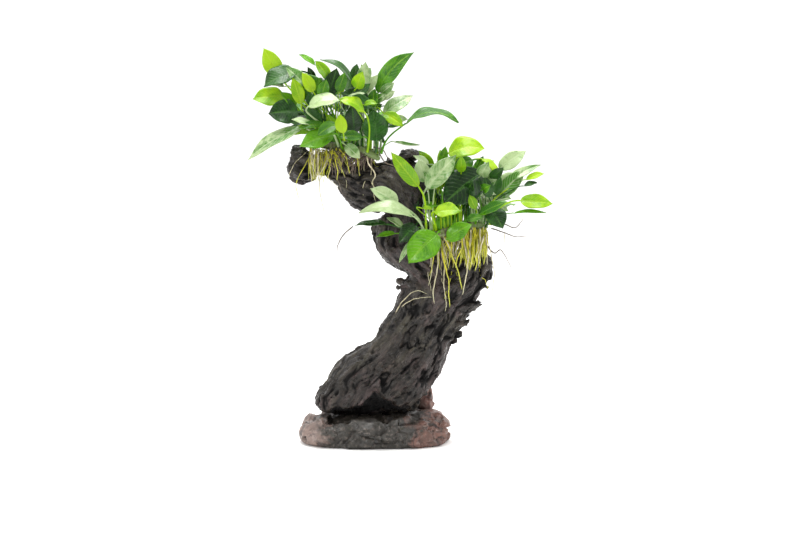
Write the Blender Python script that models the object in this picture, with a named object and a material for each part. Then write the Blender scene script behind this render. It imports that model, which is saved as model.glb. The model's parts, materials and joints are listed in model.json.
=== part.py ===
"""Anubias on driftwood: two clumps of a small water plant tied to a gnarled root on a flat stone.

Lengths in the tables are millimetres; MM turns them into metres. +X is the right-hand side,
-Y the front and +Z up. The origin is the middle of the stone's flat underside.
"""

import math

import bmesh
import bpy
from mathutils import Matrix, Vector, noise

MM = 0.001
GAP = 0.3              # clearance between touching pieces
SLAB_TOP = 26.0        # height of the flat stone
FORK_HEIGHT = 164.0    # where the trunk divides into elbow and shelf
FORK_SIDE = 72.0       # the upright parting between elbow and shelf
ARM_HEIGHT = 236.0     # where the elbow passes into the arm
ELBOW_REACH = 12.0     # the arm rests on the elbow to the right of this
KNOB_SIDE = -58.0      # where the arm passes into the knob at its left end

LUMP_WIDTH = 17.0      # breadth of the lumps on wood and stone
WOOD_GRAIN = 40.0      # length of the lumps along an upright limb
SQUARED = 0.85         # power of a rounded, slightly squared outline; less is squarer
BLOCKY = 0.7           # the same for the slab and the broken shelf
SHARP_ANGLE = math.radians(35.0)

PETIOLE_RADIUS = 1.25
BLADE_THICKNESS = 1.1
RHIZOME_RADIUS = 4.8
ROOT_RADIUS = 0.7
ROOT_WELD = 0.05       # corners of a root's end caps nearer than this are one
PETIOLE_RINGS = 5
RHIZOME_RINGS = 13
RHIZOME_CORNERS = 8
BLADE_STEPS = (0.0, 0.09, 0.24, 0.43, 0.62, 0.8, 0.92)

# The foot stone: its four sides, and its rim as height and how far the outline draws in there.
STONE_SIDES = (-76, 76, -46, 40)
STONE_RIM = ((0.0, 4.0), (4.0, 1.0), (12.0, 0.0), (19.0, 3.0), (SLAB_TOP, 11.0))
STONE_CORNERS = 28
STONE_LUMP = 4.0
STONE_GRAIN = 25.0

# Outlines of the lying rings: height, left, right, front, back.
BACK_STONE = (
    (SLAB_TOP + GAP, 43, 58, 22, 36),
    (SLAB_TOP + GAP + 7, 41, 61, 20, 38),
    (SLAB_TOP + GAP + 16, 42, 61, 20, 37),
    (SLAB_TOP + GAP + 25, 44, 58, 22, 34),
    (SLAB_TOP + GAP + 30, 47, 54, 25, 31),
)
TRUNK = (
    (SLAB_TOP + GAP, -42, 30, -24, 20),
    (34, -54, 40, -32, 24),
    (43, -60, 45, -36, 27),
    (52, -57, 50, -37, 30),
    (61, -49, 57, -35, 33),
    (72, -41, 64, -32, 35),
    (85, -30, 70, -28, 35),
    (96, -11, 75, -25, 33),
    (105, -1, 78, -23, 31),
    (114, 5, 81, -22, 29),
    (126, 13, 86, -23, 27),
    (137, 20, 95, -26, 26),
    (148, 26, 103, -28, 27),
    (157, 29, 108, -29, 28),
    (FORK_HEIGHT - GAP, 28, 114, -28, 28),
)
SHELF = (
    (FORK_HEIGHT, 40, 117, -25, 26),
    (170, 40, 118, -26, 27),
    (178, 42, 119, -26, 27),
    (184, 48, 118, -25, 26),
    (188, 56, 114, -20, 22),
)
ELBOW = (
    (FORK_HEIGHT, 35, 90, -25, 27),
    (170, 28, 90, -26, 29),
    (177, 17, 88, -27, 31),
    (185, 9, 84, -27, 31),
    (194, 3, 76, -26, 29),
    (205, -1, 67, -24, 27),
    (216, -2, 60, -22, 24),
    (224, 2, 55, -21, 22),
    (230, 13, 52, -20, 21),
    (ARM_HEIGHT - GAP, 17, 50, -18, 19),
)
SPIKE = ((280.5, -19, 2, -7, 12), (286, -16, -1, -5, 9), (294, -14, -4, -2, 7))
SPIKE_TIP = (-9, 3, 303)
STUB = ((285.5, 23, 41, -9, 8), (288, 22, 42, -10, 9), (291, 23, 41, -8, 7), (293, 27, 37, -4, 4))
UPPER_BUNDLE = (
    (264, -67, -61, -25, -20),
    (272, -70, -54, -26, -19.5),
    (282, -68, -47, -26, -19),
    (291, -63, -43, -24, -15),
)
LOWER_BUNDLE = (
    (189.5, 88, 113, -19, 4),
    (197, 87, 114, -20, 5),
    (206, 88, 113, -19, 3),
    (212.5, 91, 111, -16, 0),
)

# Outlines of the standing rings: x, bottom, top, front, back.
ARM = (
    (51, 240, 262, -10, 14),
    (43, 232, 279, -19, 22),
    (30, 230, 284, -22, 23),
    (16, 230, 285, -23, 23),
    (9, 234, 282, -23, 22),
    (-3, 231, 279, -22, 22),
    (-12, 232, 279, -21, 21),
    (-21, 237, 280, -19, 19),
    (-30, 246, 287, -17, 18),
    (-38, 258, 288, -15, 16),
    (-46, 268, 289, -13, 14),
    (KNOB_SIDE + GAP, 270, 289, -11, 12),
)
KNOB = (
    (KNOB_SIDE, 268, 289, -11, 12),
    (-65, 263, 295, -14, 15),
    (-72, 260, 300, -16, 16),
    (-79, 262, 300, -15, 15),
    (-84, 268, 295, -10, 10),
    (-86, 275, 288, -5, 5),
)

# The broken shards at the right of the trunk, each from its root to its tip.
SHARDS = (((86, -6, 136), (111, -8, 139)), ((74, 2, 120), (95, 0, 122)), ((70, -4, 106), (87, -6, 109)))
SHARD_ROOT_RADIUS = 8.0
SHARD_TIP_RADIUS = 2.0
SHARD_CORNERS = 6

# Rhizomes: the creeping stems, as points of their middle line.
UPPER_RHIZOME = ((-55, -6, 297), (-36, -9, 295), (-16, -14, 293), (6, -16, 288))
LOWER_RHIZOME = ((48, -30, 213), (68, -26, 217), (90, -16, 219), (113, -8, 218))

# One line per leaf: number, slot, place along the rhizome (0 to 1), turn round it (degrees,
# 0 up, minus to the front), blade base, blade tip, blade width, way the upper face looks,
# height of the arch, sideways bend, fold along the midrib.
UPPER_LEAVES = (
    (1, "leaf_young", 0.03, 20, (-94, 6, 366), (-110, 9, 394), 19, (-0.3, -0.9, 0.2), 1, 0, 0.1),
    (2, "leaf_dark", 0.10, -8, (-78, -3, 372), (-109, -12, 357), 25, (-0.1, -0.7, 0.7), 3, 0, 0.2),
    (3, "leaf_young", 0.00, -25, (-89, -8, 347), (-120, -12, 345), 22, (0.0, -0.8, 0.6), 2, 0, 0.1),
    (4, "leaf_dark", 0.05, -45, (-75, -17, 333), (-104, -21, 331), 26, (0.0, -0.9, 0.4), 2, 0, 0.1),
    (5, "leaf_pale", 0.33, -30, (-64, -24, 339), (-33, -28, 344), 24, (0.0, -0.5, 0.85), 3, 0, 0.15),
    (6, "leaf_young", 0.80, -45, (-10, -31, 334), (-34, -36, 345), 20, (0.1, -0.5, 0.85), 4, 0, 0.1),
    (7, "leaf_dark", 0.92, -20, (2, -20, 304), (-1, -16, 335), 26, (0.1, -0.95, 0.1), -1, 0, 0.1),
    (8, "leaf_mid", 0.88, 40, (3, 6, 350), (39, 12, 390), 19, (-0.3, -0.85, 0.3), 1, -5, 0.1),
    (9, "leaf_dark", 0.62, 10, (-6, -2, 338), (-33, -6, 351), 23, (0.0, -0.8, 0.5), 2, 0, 0.1),
    (10, "leaf_pale", 0.97, 15, (9, -2, 330), (38, 6, 347), 18, (-0.2, -0.7, 0.6), 2, 0, 0.1),
    (11, "leaf_mid", 1.00, -15, (31, -8, 321), (83, -14, 322), 23, (0.0, -0.3, 0.95), 11, 0, 0.15),
    (12, "leaf_mid", 0.55, -55, (-37, -36, 322), (-55, -42, 311), 15, (-0.2, -0.8, 0.5), 2, 0, 0.1),
    (13, "leaf_pale", 0.00, -60, (-72, -23, 317), (-124, -29, 286), 20, (-0.3, -0.6, 0.75), 5, 0, 0.15),
    (14, "leaf_mid", 0.42, -65, (-40, -30, 312), (-73, -36, 300), 21, (-0.1, -0.85, 0.5), 2, 0, 0.1),
    (15, "leaf_mid", 0.30, 5, (-52, -6, 347), (-72, -4, 369), 20, (-0.2, -0.85, 0.45), 2, 0, 0.1),
    (16, "leaf_dark", 0.45, -5, (-47, -9, 345), (-37, -4, 375), 18, (0.3, -0.9, 0.2), 1, 0, 0.15),
    (17, "leaf_dark", 0.70, 45, (-21, 8, 356), (-54, 4, 383), 14, (-0.3, -0.3, 0.9), 8, 0, 0.15),
    (18, "leaf_mid", 0.20, 60, (-68, 16, 326), (-92, 42, 334), 26, (-0.3, 0.1, 0.95), 5, 0, 0.15),
    (19, "leaf_dark", 0.50, 60, (-34, 18, 330), (-32, 52, 346), 27, (0.0, -0.35, 0.93), 5, 0, 0.15),
    (20, "leaf_mid", 0.78, 60, (0, 14, 318), (22, 44, 322), 24, (0.2, -0.1, 0.95), 5, 0, 0.15),
)
LOWER_LEAVES = (
    (1, "leaf_young", 0.36, 25, (73, 2, 291), (109, -4, 295), 27, (0.1, -0.72, 0.68), 6, 0, 0.1),
    (2, "leaf_mid", 0.55, 20, (97, 3, 284), (78, -3, 275), 17, (-0.1, -0.8, 0.55), 1, 0, 0.1),
    (3, "leaf_young", 0.72, 30, (107, 12, 284), (123, 4, 266), 12, (0.5, -0.5, 0.7), 4, 0, 0.1),
    (4, "leaf_dark", 0.60, -5, (106, -10, 272), (67, -24, 242), 37, (-0.15, -0.93, 0.35), 3, 0, 0.08),
    (5, "leaf_young", 0.05, -30, (43, -36, 261), (16, -39, 295), 15, (-0.3, -0.9, 0.2), 1, 0, 0.15),
    (6, "leaf_pale", 0.15, -20, (51, -30, 259), (80, -28, 291), 20, (0.2, -0.85, 0.5), 2, 0, 0.12),
    (7, "leaf_pale", 0.00, -55, (38, -37, 232), (-15, -45, 236), 21, (0.0, -0.5, 0.87), 9, 0, 0.12),
    (8, "leaf_pale", 0.00, -12, (23, -30, 244), (-4, -33, 259), 17, (0.0, -0.8, 0.6), 2, 0, 0.1),
    (9, "leaf_dark", 0.02, -95, (12, -34, 224), (-19, -40, 223), 11, (0.0, -0.4, 0.9), 2, 0, 0.15),
    (10, "leaf_mid", 0.24, -85, (61, -45, 216), (33, -55, 188), 31, (-0.2, -0.9, 0.4), 3, 0, 0.08),
    (11, "leaf_mid", 0.46, -80, (71, -42, 210), (95, -45, 225), 19, (0.1, -0.75, 0.65), 2, 0, 0.1),
    (12, "leaf_young", 0.20, -50, (59, -49, 238), (84, -56, 239), 18, (0.0, -0.7, 0.7), 2, 0, 0.1),
    (13, "leaf_mid", 0.78, -50, (103, -28, 233), (130, -34, 246), 14, (0.0, -0.6, 0.8), 1, 0, 0.15),
    (14, "leaf_dark", 0.94, -70, (114, -24, 238), (126, -34, 219), 21, (0.2, -0.9, 0.4), 2, 0, 0.08),
    (15, "leaf_pale", 0.90, -5, (121, -4, 246), (150, 0, 275), 17, (0.2, -0.8, 0.5), 2, 0, 0.1),
    (16, "leaf_pale", 0.84, 25, (124, 10, 274), (151, 14, 292), 17, (0.1, -0.8, 0.6), 1, 0, 0.1),
    (17, "leaf_young", 1.00, -35, (144, -14, 245), (176, -18, 242), 17, (0.0, -0.8, 0.6), 1, 0, 0.08),
    (18, "leaf_dark", 0.30, 10, (60, -13, 256), (51, -18, 282), 16, (0.1, -0.85, 0.4), 1, 0, 0.1),
    (19, "leaf_mid", 0.26, 50, (66, 12, 238), (48, 42, 246), 25, (-0.1, -0.1, 0.97), 5, 0, 0.15),
    (20, "leaf_dark", 0.56, 55, (92, 16, 248), (92, 48, 264), 27, (0.0, -0.4, 0.92), 5, 0, 0.15),
    (21, "leaf_mid", 0.90, 70, (118, 20, 230), (142, 46, 234), 24, (0.2, 0.0, 0.97), 5, 0, 0.15),
)

# The knots of small leaves too many to part: left front low corner and right back high corner,
# and how much of its full width the knot has at each share of its height.
UPPER_YOUNG = ((-74, 14, 346), (-44, 34, 380))
LOWER_YOUNG = ((64, 14, 262), (88, 32, 286))
YOUNG_RINGS = ((0.0, 0.35), (0.2, 0.75), (0.5, 1.0), (0.8, 0.8), (1.0, 0.4))
YOUNG_CORNERS = 9

# The roots that hang clear of their bundles, as points from the rhizome down.
LONG_ROOTS = {
    "upper_long_root": ((-56, -28, 289), (-55, -29, 270), (-52, -29, 248), (-49, -28, 228)),
    "lower_long_root_1": ((71, -30, 202), (76, -31, 193), (81, -32, 182), (84, -32, 170), (86, -32, 159)),
    "lower_long_root_2": ((68, -31, 186), (72, -31, 174), (73, -32, 159), (74, -32, 142)),
    "lower_long_root_3": ((117, -22, 168), (116, -22, 148), (114, -21, 126), (113, -21, 104)),
}

COLOURS = {
    "stone": (0.20, 0.13, 0.11, 1.0, 0.85),
    "driftwood": (0.035, 0.026, 0.024, 1.0, 0.6),
    "rhizome": (0.16, 0.20, 0.05, 1.0, 0.6),
    "roots": (0.55, 0.50, 0.12, 1.0, 0.7),
    "leaf_young": (0.25, 0.50, 0.04, 1.0, 0.35),
    "leaf_mid": (0.08, 0.28, 0.03, 1.0, 0.3),
    "leaf_dark": (0.02, 0.09, 0.03, 1.0, 0.25),
    "leaf_pale": (0.42, 0.52, 0.32, 1.0, 0.25),
}


def clear_scene():
    for thing in list(bpy.data.objects):
        bpy.data.objects.remove(thing, do_unlink=True)


def new_collection(name):
    group = bpy.data.collections.new(name)
    bpy.context.scene.collection.children.link(group)
    return group


def material(slot, node):
    red, green, blue, alpha, roughness = COLOURS[slot]
    finish = bpy.data.materials.new(node + "_" + slot)
    finish.use_nodes = True
    shader = finish.node_tree.nodes["Principled BSDF"]
    shader.inputs["Base Color"].default_value = (red, green, blue, alpha)
    shader.inputs["Roughness"].default_value = roughness
    shader.inputs["Metallic"].default_value = 0.0
    return finish


def place(node, slot, bm, group):
    """Turn a bmesh in millimetres into an object of the part, in metres."""
    bmesh.ops.scale(bm, vec=(MM, MM, MM), verts=bm.verts)
    bmesh.ops.recalc_face_normals(bm, faces=bm.faces)
    mesh = bpy.data.meshes.new(node)
    bm.to_mesh(mesh)
    bm.free()
    mesh.shade_smooth()
    mesh.set_sharp_from_angle(angle=SHARP_ANGLE)
    piece = bpy.data.objects.new(node, mesh)
    piece.data.materials.append(material(slot, node))
    group.objects.link(piece)
    return piece


def loft(rings, point=None):
    """A closed skin over rings of equal count; it ends flat, or in a point if one is given."""
    bm = bmesh.new()
    loops = [[bm.verts.new(p) for p in ring] for ring in rings]
    count = len(loops[0])
    for low, high in zip(loops, loops[1:]):
        for i in range(count):
            j = (i + 1) % count
            bm.faces.new((low[i], low[j], high[j], high[i]))
    bm.faces.new(list(reversed(loops[0])))
    if point is None:
        bm.faces.new(loops[-1])
    else:
        tip = bm.verts.new(point)
        for i in range(count):
            bm.faces.new((loops[-1][i], loops[-1][(i + 1) % count], tip))
    return bm


def bezier(a, b, c, d, t):
    s = 1.0 - t
    return a * s**3 + b * (3 * s * s * t) + c * (3 * s * t * t) + d * t**3


def gnarled(p, amount, grain):
    """How far the weathered surface stands out at p; grain stretches the lumps along +Z."""
    q = Vector((p.x / LUMP_WIDTH, p.y / LUMP_WIDTH, p.z / grain))
    return amount * (noise.noise(q) + 0.5 * noise.noise(q * 2.3))


def squared(angle, power):
    """A point of a rounded, slightly squared unit outline."""
    c, s = math.cos(angle), math.sin(angle)
    return (math.copysign(abs(c) ** power, c), math.copysign(abs(s) ** power, s))


def level_ring(row, corners, lump, grain=WOOD_GRAIN, power=SQUARED):
    """A lying outline of gnarled wood or stone: height, left, right, front and back."""
    z, left, right, front, back = row
    middle = Vector(((left + right) / 2, (front + back) / 2, z))
    ring = []
    for i in range(corners):
        x, y = squared(2 * math.pi * i / corners, power)
        p = middle + Vector((x * (right - left) / 2, y * (back - front) / 2, 0.0))
        ring.append(p + (p - middle).normalized() * gnarled(p, lump, grain))
    return ring


def upright_ring(row, corners, lump, grain=LUMP_WIDTH, power=SQUARED):
    """A standing outline across the arm: x, bottom, top, front and back."""
    x, bottom, top, front, back = row
    middle = Vector((x, (front + back) / 2, (bottom + top) / 2))
    ring = []
    for i in range(corners):
        y, z = squared(2 * math.pi * i / corners, power)
        p = middle + Vector((0.0, y * (back - front) / 2, z * (top - bottom) / 2))
        ring.append(p + (p - middle).normalized() * gnarled(p, lump, grain))
    return ring


# ---- stones ------------------------------------------------------------------------------

def base_stone(group):
    """The flat foot stone: level underside and top, a broken rim."""
    left, right, front, back = STONE_SIDES
    rings = []
    for z, inset in STONE_RIM:
        row = (z, left + inset, right - inset, front + inset, back - inset)
        rings.append(level_ring(row, STONE_CORNERS, STONE_LUMP, STONE_GRAIN, BLOCKY))
    place("base_stone", "stone", loft(rings), group)


def back_stone(group):
    """The small rough stone wedged behind the foot of the wood."""
    rings = [level_ring(row, 12, 3.0, 20.0) for row in BACK_STONE]
    place("back_stone", "stone", loft(rings), group)


# ---- driftwood ---------------------------------------------------------------------------

def trunk(group, cutters):
    """From the foot to the fork, leaning to the right; three broken shards stand out there."""
    rings = [level_ring(row, 22, 5.0) for row in TRUNK]
    piece = place("driftwood_trunk", "driftwood", loft(rings), group)
    for number, (root, tip) in enumerate(SHARDS):
        add_shard(piece, cutters, "shard_%d" % number, Vector(root), Vector(tip))


def add_shard(piece, cutters, name, root, tip):
    """Grow a broken shard on a wooden piece: a blunt cone joined to it."""
    bm = bmesh.new()
    bmesh.ops.create_cone(
        bm, cap_ends=True, segments=SHARD_CORNERS, radius1=SHARD_ROOT_RADIUS,
        radius2=SHARD_TIP_RADIUS, depth=(tip - root).length
    )
    turn = (tip - root).to_track_quat("Z", "Y").to_matrix().to_4x4()
    bmesh.ops.transform(bm, matrix=Matrix.Translation((root + tip) / 2) @ turn, verts=bm.verts)
    shard = place(name, "driftwood", bm, cutters)
    shard.hide_render = True
    shard.display_type = "WIRE"
    join = piece.modifiers.new(name, "BOOLEAN")
    join.operation = "UNION"
    join.object = shard


def parted(ring, axis, limit, above):
    """The ring with everything past a parting plane pressed flat onto it."""
    for p in ring:
        p[axis] = max(p[axis], limit) if above else min(p[axis], limit)
    return ring


def shelf(group):
    """The broken right-hand limb, whose level top carries the lower plant's roots."""
    rings = [level_ring(row, 20, 2.0, power=BLOCKY) for row in SHELF]
    rings = [parted(ring, 0, FORK_SIDE + GAP, True) for ring in rings]
    place("driftwood_shelf", "driftwood", loft(rings), group)


def elbow(group):
    """The left-hand limb, which swells to the left and rises to the arm."""
    rings = [level_ring(row, 20, 2.2) for row in ELBOW]
    rings = [parted(ring, 0, FORK_SIDE, False) for ring in rings]
    place("driftwood_elbow", "driftwood", loft(rings), group)


def arm(group):
    """The upper limb, from over the elbow out to the left."""
    rings = [upright_ring(row, 18, 2.0) for row in ARM]
    for ring, row in zip(rings, ARM):
        if row[0] > ELBOW_REACH:
            parted(ring, 2, ARM_HEIGHT, True)
    place("driftwood_arm", "driftwood", loft(rings), group)


def knob(group):
    """The blunt two-lobed end of the arm."""
    rings = [upright_ring(row, 14, 2.0) for row in KNOB]
    place("driftwood_knob", "driftwood", loft(rings), group)


def spike(group):
    """The upright thorn of wood behind the upper rhizome."""
    rings = [level_ring(row, 8, 0.6) for row in SPIKE]
    place("driftwood_spike", "driftwood", loft(rings, Vector(SPIKE_TIP)), group)


def stub(group):
    """The short stump on the right of the arm."""
    rings = [level_ring(row, 10, 0.8) for row in STUB]
    place("driftwood_stub", "driftwood", loft(rings), group)


# ---- plants ------------------------------------------------------------------------------

def along(points, t):
    """The point at share t of a line through evenly spaced points, and its direction there."""
    spans = len(points) - 1
    i = min(int(t * spans), spans - 1)
    a, b = Vector(points[i]), Vector(points[i + 1])
    return a.lerp(b, t * spans - i), (b - a).normalized()


def rhizome(node, points, group):
    """A knotty creeping stem with rounded ends."""
    rings = []
    for k in range(RHIZOME_RINGS):
        t = k / (RHIZOME_RINGS - 1)
        middle, way = along(points, t)
        across = way.cross(Vector((0, 0, 1))).normalized()
        rise = across.cross(way)
        end = math.sin(math.pi * (0.12 + 0.76 * t)) ** 0.4
        radius = RHIZOME_RADIUS * end * (0.9 + 0.1 * (k % 2))
        ring = []
        for i in range(RHIZOME_CORNERS):
            angle = 2 * math.pi * i / RHIZOME_CORNERS
            ring.append(middle + (across * math.cos(angle) + rise * math.sin(angle)) * radius)
        rings.append(ring)
    place(node, "rhizome", loft(rings), group)


def width_at(s):
    """Share of the full blade width at s of its length: widest before the middle, then a point."""
    return math.sin(math.pi * s**0.8) ** 0.75 if s > 0.0 else 0.0


def section(middle, side, lift, half_width, edge_lift, over, under):
    """Four corners of a leaf's cross-section: edge, upper middle, edge, lower middle."""
    return [
        middle - side * half_width + lift * edge_lift,
        middle + lift * over,
        middle + side * half_width + lift * edge_lift,
        middle - lift * under,
    ]


def leaf(node, slot, stem, at, turn, base, tip, width, face, arch, sweep, fold, group):
    """One leaf, stalk and blade grown as one."""
    base, tip, face = Vector(base), Vector(tip), Vector(face)
    middle, way = along(stem, at)
    outward = way.cross(Vector((0, 0, 1))).normalized()
    rise = outward.cross(way)
    angle = math.radians(turn)
    leaving = rise * math.cos(angle) - outward * math.sin(angle)
    start = middle + leaving * (RHIZOME_RADIUS + GAP + 0.5)
    blade = tip - base
    face = (face - blade * (face.dot(blade) / blade.length_squared)).normalized()
    sideways = blade.cross(face).normalized()
    bend = face * arch + sideways * sweep
    heading = (blade + bend * 4).normalized()
    reach = (base - start).length
    first = start + leaving * reach * 0.45
    second = base - heading * reach * 0.35
    rings = []
    for k in range(PETIOLE_RINGS):
        t = k / PETIOLE_RINGS
        here = bezier(start, first, second, base, t)
        ahead = bezier(start, first, second, base, t + 0.05)
        tangent = (ahead - here).normalized()
        side = tangent.cross(face).normalized()
        lift = side.cross(tangent)
        thick = PETIOLE_RADIUS * (1.35 - 0.45 * t)
        rings.append(section(here, side, lift, thick, 0.0, thick, thick))
    for s in BLADE_STEPS:
        here = base + blade * s + bend * 4 * s * (1 - s)
        tangent = (blade + bend * 4 * (1 - 2 * s)).normalized()
        side = tangent.cross(face).normalized()
        lift = side.cross(tangent)
        half = max(width_at(s) * width / 2, PETIOLE_RADIUS * 0.8)
        thick = BLADE_THICKNESS / 2 + PETIOLE_RADIUS * 0.4 * (1 - s) ** 3
        rings.append(section(here, side, lift, half, fold * half * (s > 0), thick, thick))
    place(node, slot, loft(rings, tip), group)


def leaves(name, table, stem, group):
    for number, slot, at, turn, base, tip, width, face, arch, sweep, fold in table:
        node = "%s_leaf_%02d" % (name, number)
        leaf(node, slot, stem, at, turn, base, tip, width, face, arch, sweep, fold, group)


def young_leaves(node, corners, group):
    """The knot of small leaves too many to part, as one body of their outer shape."""
    low, high = Vector(corners[0]), Vector(corners[1])
    middle = (low + high) / 2
    rings = []
    for share, size in YOUNG_RINGS:
        half = (high - low) / 2 * size
        z = low.z + (high.z - low.z) * share
        row = (z, middle.x - half.x, middle.x + half.x, middle.y - half.y, middle.y + half.y)
        rings.append(level_ring(row, YOUNG_CORNERS, 1.0))
    place(node, "leaf_young", loft(rings), group)


def long_root(node, points, group):
    """One long root, as a thin bent tube."""
    line = bpy.data.curves.new(node, "CURVE")
    line.dimensions = "3D"
    line.bevel_depth = ROOT_RADIUS * MM
    line.bevel_resolution = 1
    line.use_fill_caps = True
    spline = line.splines.new("POLY")
    spline.points.add(len(points) - 1)
    for spot, p in zip(spline.points, points):
        spot.co = (p[0] * MM, p[1] * MM, p[2] * MM, 1.0)
    piece = bpy.data.objects.new(node, line)
    weld = piece.modifiers.new("Caps", "WELD")
    weld.merge_threshold = ROOT_WELD * MM
    piece.data.materials.append(material("roots", node))
    group.objects.link(piece)


def root_bundle(node, rows, group):
    """A tight bundle of fine roots, as one body of its outer shape."""
    rings = [level_ring(row, 12, 0.8) for row in rows]
    place(node, "roots", loft(rings), group)


def roots(group):
    """The two bundles of fine roots and the long ones beside them."""
    root_bundle("upper_root_bundle", UPPER_BUNDLE, group)
    root_bundle("lower_root_bundle", LOWER_BUNDLE, group)
    for node, points in LONG_ROOTS.items():
        long_root(node, points, group)


def plants(group):
    rhizome("upper_rhizome", UPPER_RHIZOME, group)
    rhizome("lower_rhizome", LOWER_RHIZOME, group)
    leaves("upper", UPPER_LEAVES, UPPER_RHIZOME, group)
    leaves("lower", LOWER_LEAVES, LOWER_RHIZOME, group)
    young_leaves("upper_young_leaves", UPPER_YOUNG, group)
    young_leaves("lower_young_leaves", LOWER_YOUNG, group)
    roots(group)


def build():
    clear_scene()
    group = new_collection("anubias_on_driftwood")
    cutters = new_collection("cutters")
    base_stone(group)
    back_stone(group)
    trunk(group, cutters)
    shelf(group)
    elbow(group)
    arm(group)
    knob(group)
    spike(group)
    stub(group)
    plants(group)


build()
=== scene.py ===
# %% [markdown]
# # Anubias on driftwood
# Two clumps of a small broad-leaved water plant grow on a gnarled piece of dark, wet driftwood, which
# stands on a flat stone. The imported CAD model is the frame: it says where every stone, limb, stem and
# leaf is. This lesson dresses that frame with broken wood, veined leaves and fine roots.

# %% Load the frame
import json
import math
import random

import bmesh
import bpy
from mathutils import Matrix, Vector, kdtree, noise
from mathutils.bvhtree import BVHTree


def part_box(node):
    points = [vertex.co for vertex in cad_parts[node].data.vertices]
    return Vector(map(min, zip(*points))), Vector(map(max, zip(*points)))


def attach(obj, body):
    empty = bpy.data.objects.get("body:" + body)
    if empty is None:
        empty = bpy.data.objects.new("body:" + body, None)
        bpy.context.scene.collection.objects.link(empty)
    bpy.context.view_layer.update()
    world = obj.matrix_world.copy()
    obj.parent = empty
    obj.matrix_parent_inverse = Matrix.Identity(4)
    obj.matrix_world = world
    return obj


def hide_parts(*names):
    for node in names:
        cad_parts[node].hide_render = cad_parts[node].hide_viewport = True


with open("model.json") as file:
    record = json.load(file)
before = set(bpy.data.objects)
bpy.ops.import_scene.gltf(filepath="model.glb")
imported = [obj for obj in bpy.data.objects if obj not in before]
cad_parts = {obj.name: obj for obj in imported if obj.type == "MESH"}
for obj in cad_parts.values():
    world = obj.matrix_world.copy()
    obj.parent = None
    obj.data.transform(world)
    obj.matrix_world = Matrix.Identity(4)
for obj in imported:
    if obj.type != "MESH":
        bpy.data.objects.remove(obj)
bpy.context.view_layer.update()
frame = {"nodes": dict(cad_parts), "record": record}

nodes = frame["nodes"]
slot_of = {part["node"]: part["material_slot"] for part in frame["record"]["subparts"]}
MM = 0.001

# %% [markdown]
# ## Camera
# The object is looked at from the front and a little above, through a long lens, so that the trunk
# keeps its lean without much perspective.

# %% Place the camera
AIM = Vector((0.025, 0.0, 0.177))
DISTANCE = 1.89
ELEVATION = math.radians(8.0)
lens = bpy.data.cameras.new("camera")
lens.lens = 85.0
lens.sensor_width = 36.0
camera = bpy.data.objects.new("camera", lens)
away = Vector((0.0, -math.cos(ELEVATION), math.sin(ELEVATION)))
camera.location = AIM + away * DISTANCE
camera.rotation_euler = (-away).to_track_quat("-Z", "Y").to_euler()
bpy.context.scene.collection.objects.link(camera)
bpy.context.scene.camera = camera
print("camera height, mm:", round(camera.location.z / MM))

# %% [markdown]
# ## Shader helpers
# Every finish is mixed from nodes. These few helpers add one node each and wire it up, so that a finish
# reads as a list of steps. A value that is the same all over a surface is set on the shader itself.

# %% Node helpers
def new_finish(name):
    """An empty material and its node tree."""
    finish = bpy.data.materials.new(name)
    finish.use_nodes = True
    finish.node_tree.nodes.clear()
    return finish, finish.node_tree


def add(tree, kind, settings=None, inputs=None):
    """Add a node; an input may be a number, a colour (red, green, blue) or another node's output."""
    node = tree.nodes.new("ShaderNode" + kind)
    for name, value in (settings or {}).items():
        setattr(node, name, value)
    for key, value in (inputs or {}).items():
        if isinstance(value, bpy.types.NodeSocket):
            tree.links.new(value, node.inputs[key])
        elif node.inputs[key].type == "RGBA":
            node.inputs[key].default_value = (*value, 1.0)
        else:
            node.inputs[key].default_value = value
    return node


def calc(tree, operation, a, b=0.0, c=0.0):
    """One sum on numbers."""
    return add(tree, "Math", {"operation": operation}, {0: a, 1: b, 2: c}).outputs[0]


def fade(tree, value, low, high, start=0.0, end=1.0):
    """A smooth change from start to end while value goes from low to high."""
    settings = {"interpolation_type": "SMOOTHSTEP"}
    numbers = {"Value": value, "From Min": low, "From Max": high, "To Min": start, "To Max": end}
    return add(tree, "MapRange", settings, numbers).outputs[0]


def mix(tree, share, a, b, way="MIX"):
    """Blend two colours."""
    settings = {"data_type": "RGBA", "blend_type": way}
    return add(tree, "Mix", settings, {0: share, 6: a, 7: b}).outputs[2]


def cloud(tree, where, scale, detail=3.0, roughness=0.55, distortion=0.0):
    """Soft noise from 0 to 1."""
    numbers = {"Vector": where, "Scale": scale, "Detail": detail, "Roughness": roughness}
    numbers["Distortion"] = distortion
    return add(tree, "TexNoise", {}, numbers).outputs[0]


def stretched(tree, where, scale, turn=(0.0, 0.0, 0.0)):
    """The same place, scaled by axis and turned."""
    return add(tree, "Mapping", {}, {"Vector": where, "Scale": scale, "Rotation": turn}).outputs[0]


def reading(tree, name, output="Fac"):
    """A value stored on the mesh."""
    return add(tree, "Attribute", {"attribute_name": name}).outputs[output]


def close(tree, body):
    """End a finish: one principled shader with these inputs, wired to the output."""
    shader = add(tree, "BsdfPrincipled", {}, body)
    add(tree, "OutputMaterial", {}, {"Surface": shader.outputs[0]})


print("node helpers ready")

# %% [markdown]
# ## Floor and light
# The piece stands on a white floor. A soft overhead light puts sheens on the wet leaves, and two lamps
# from the sides open the shadows. An even sky would wash the leaves out, so it is bright behind and above
# but dim on the viewer's side: leaves seen flat keep their green, leaves seen from their edge turn silvery.

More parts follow.
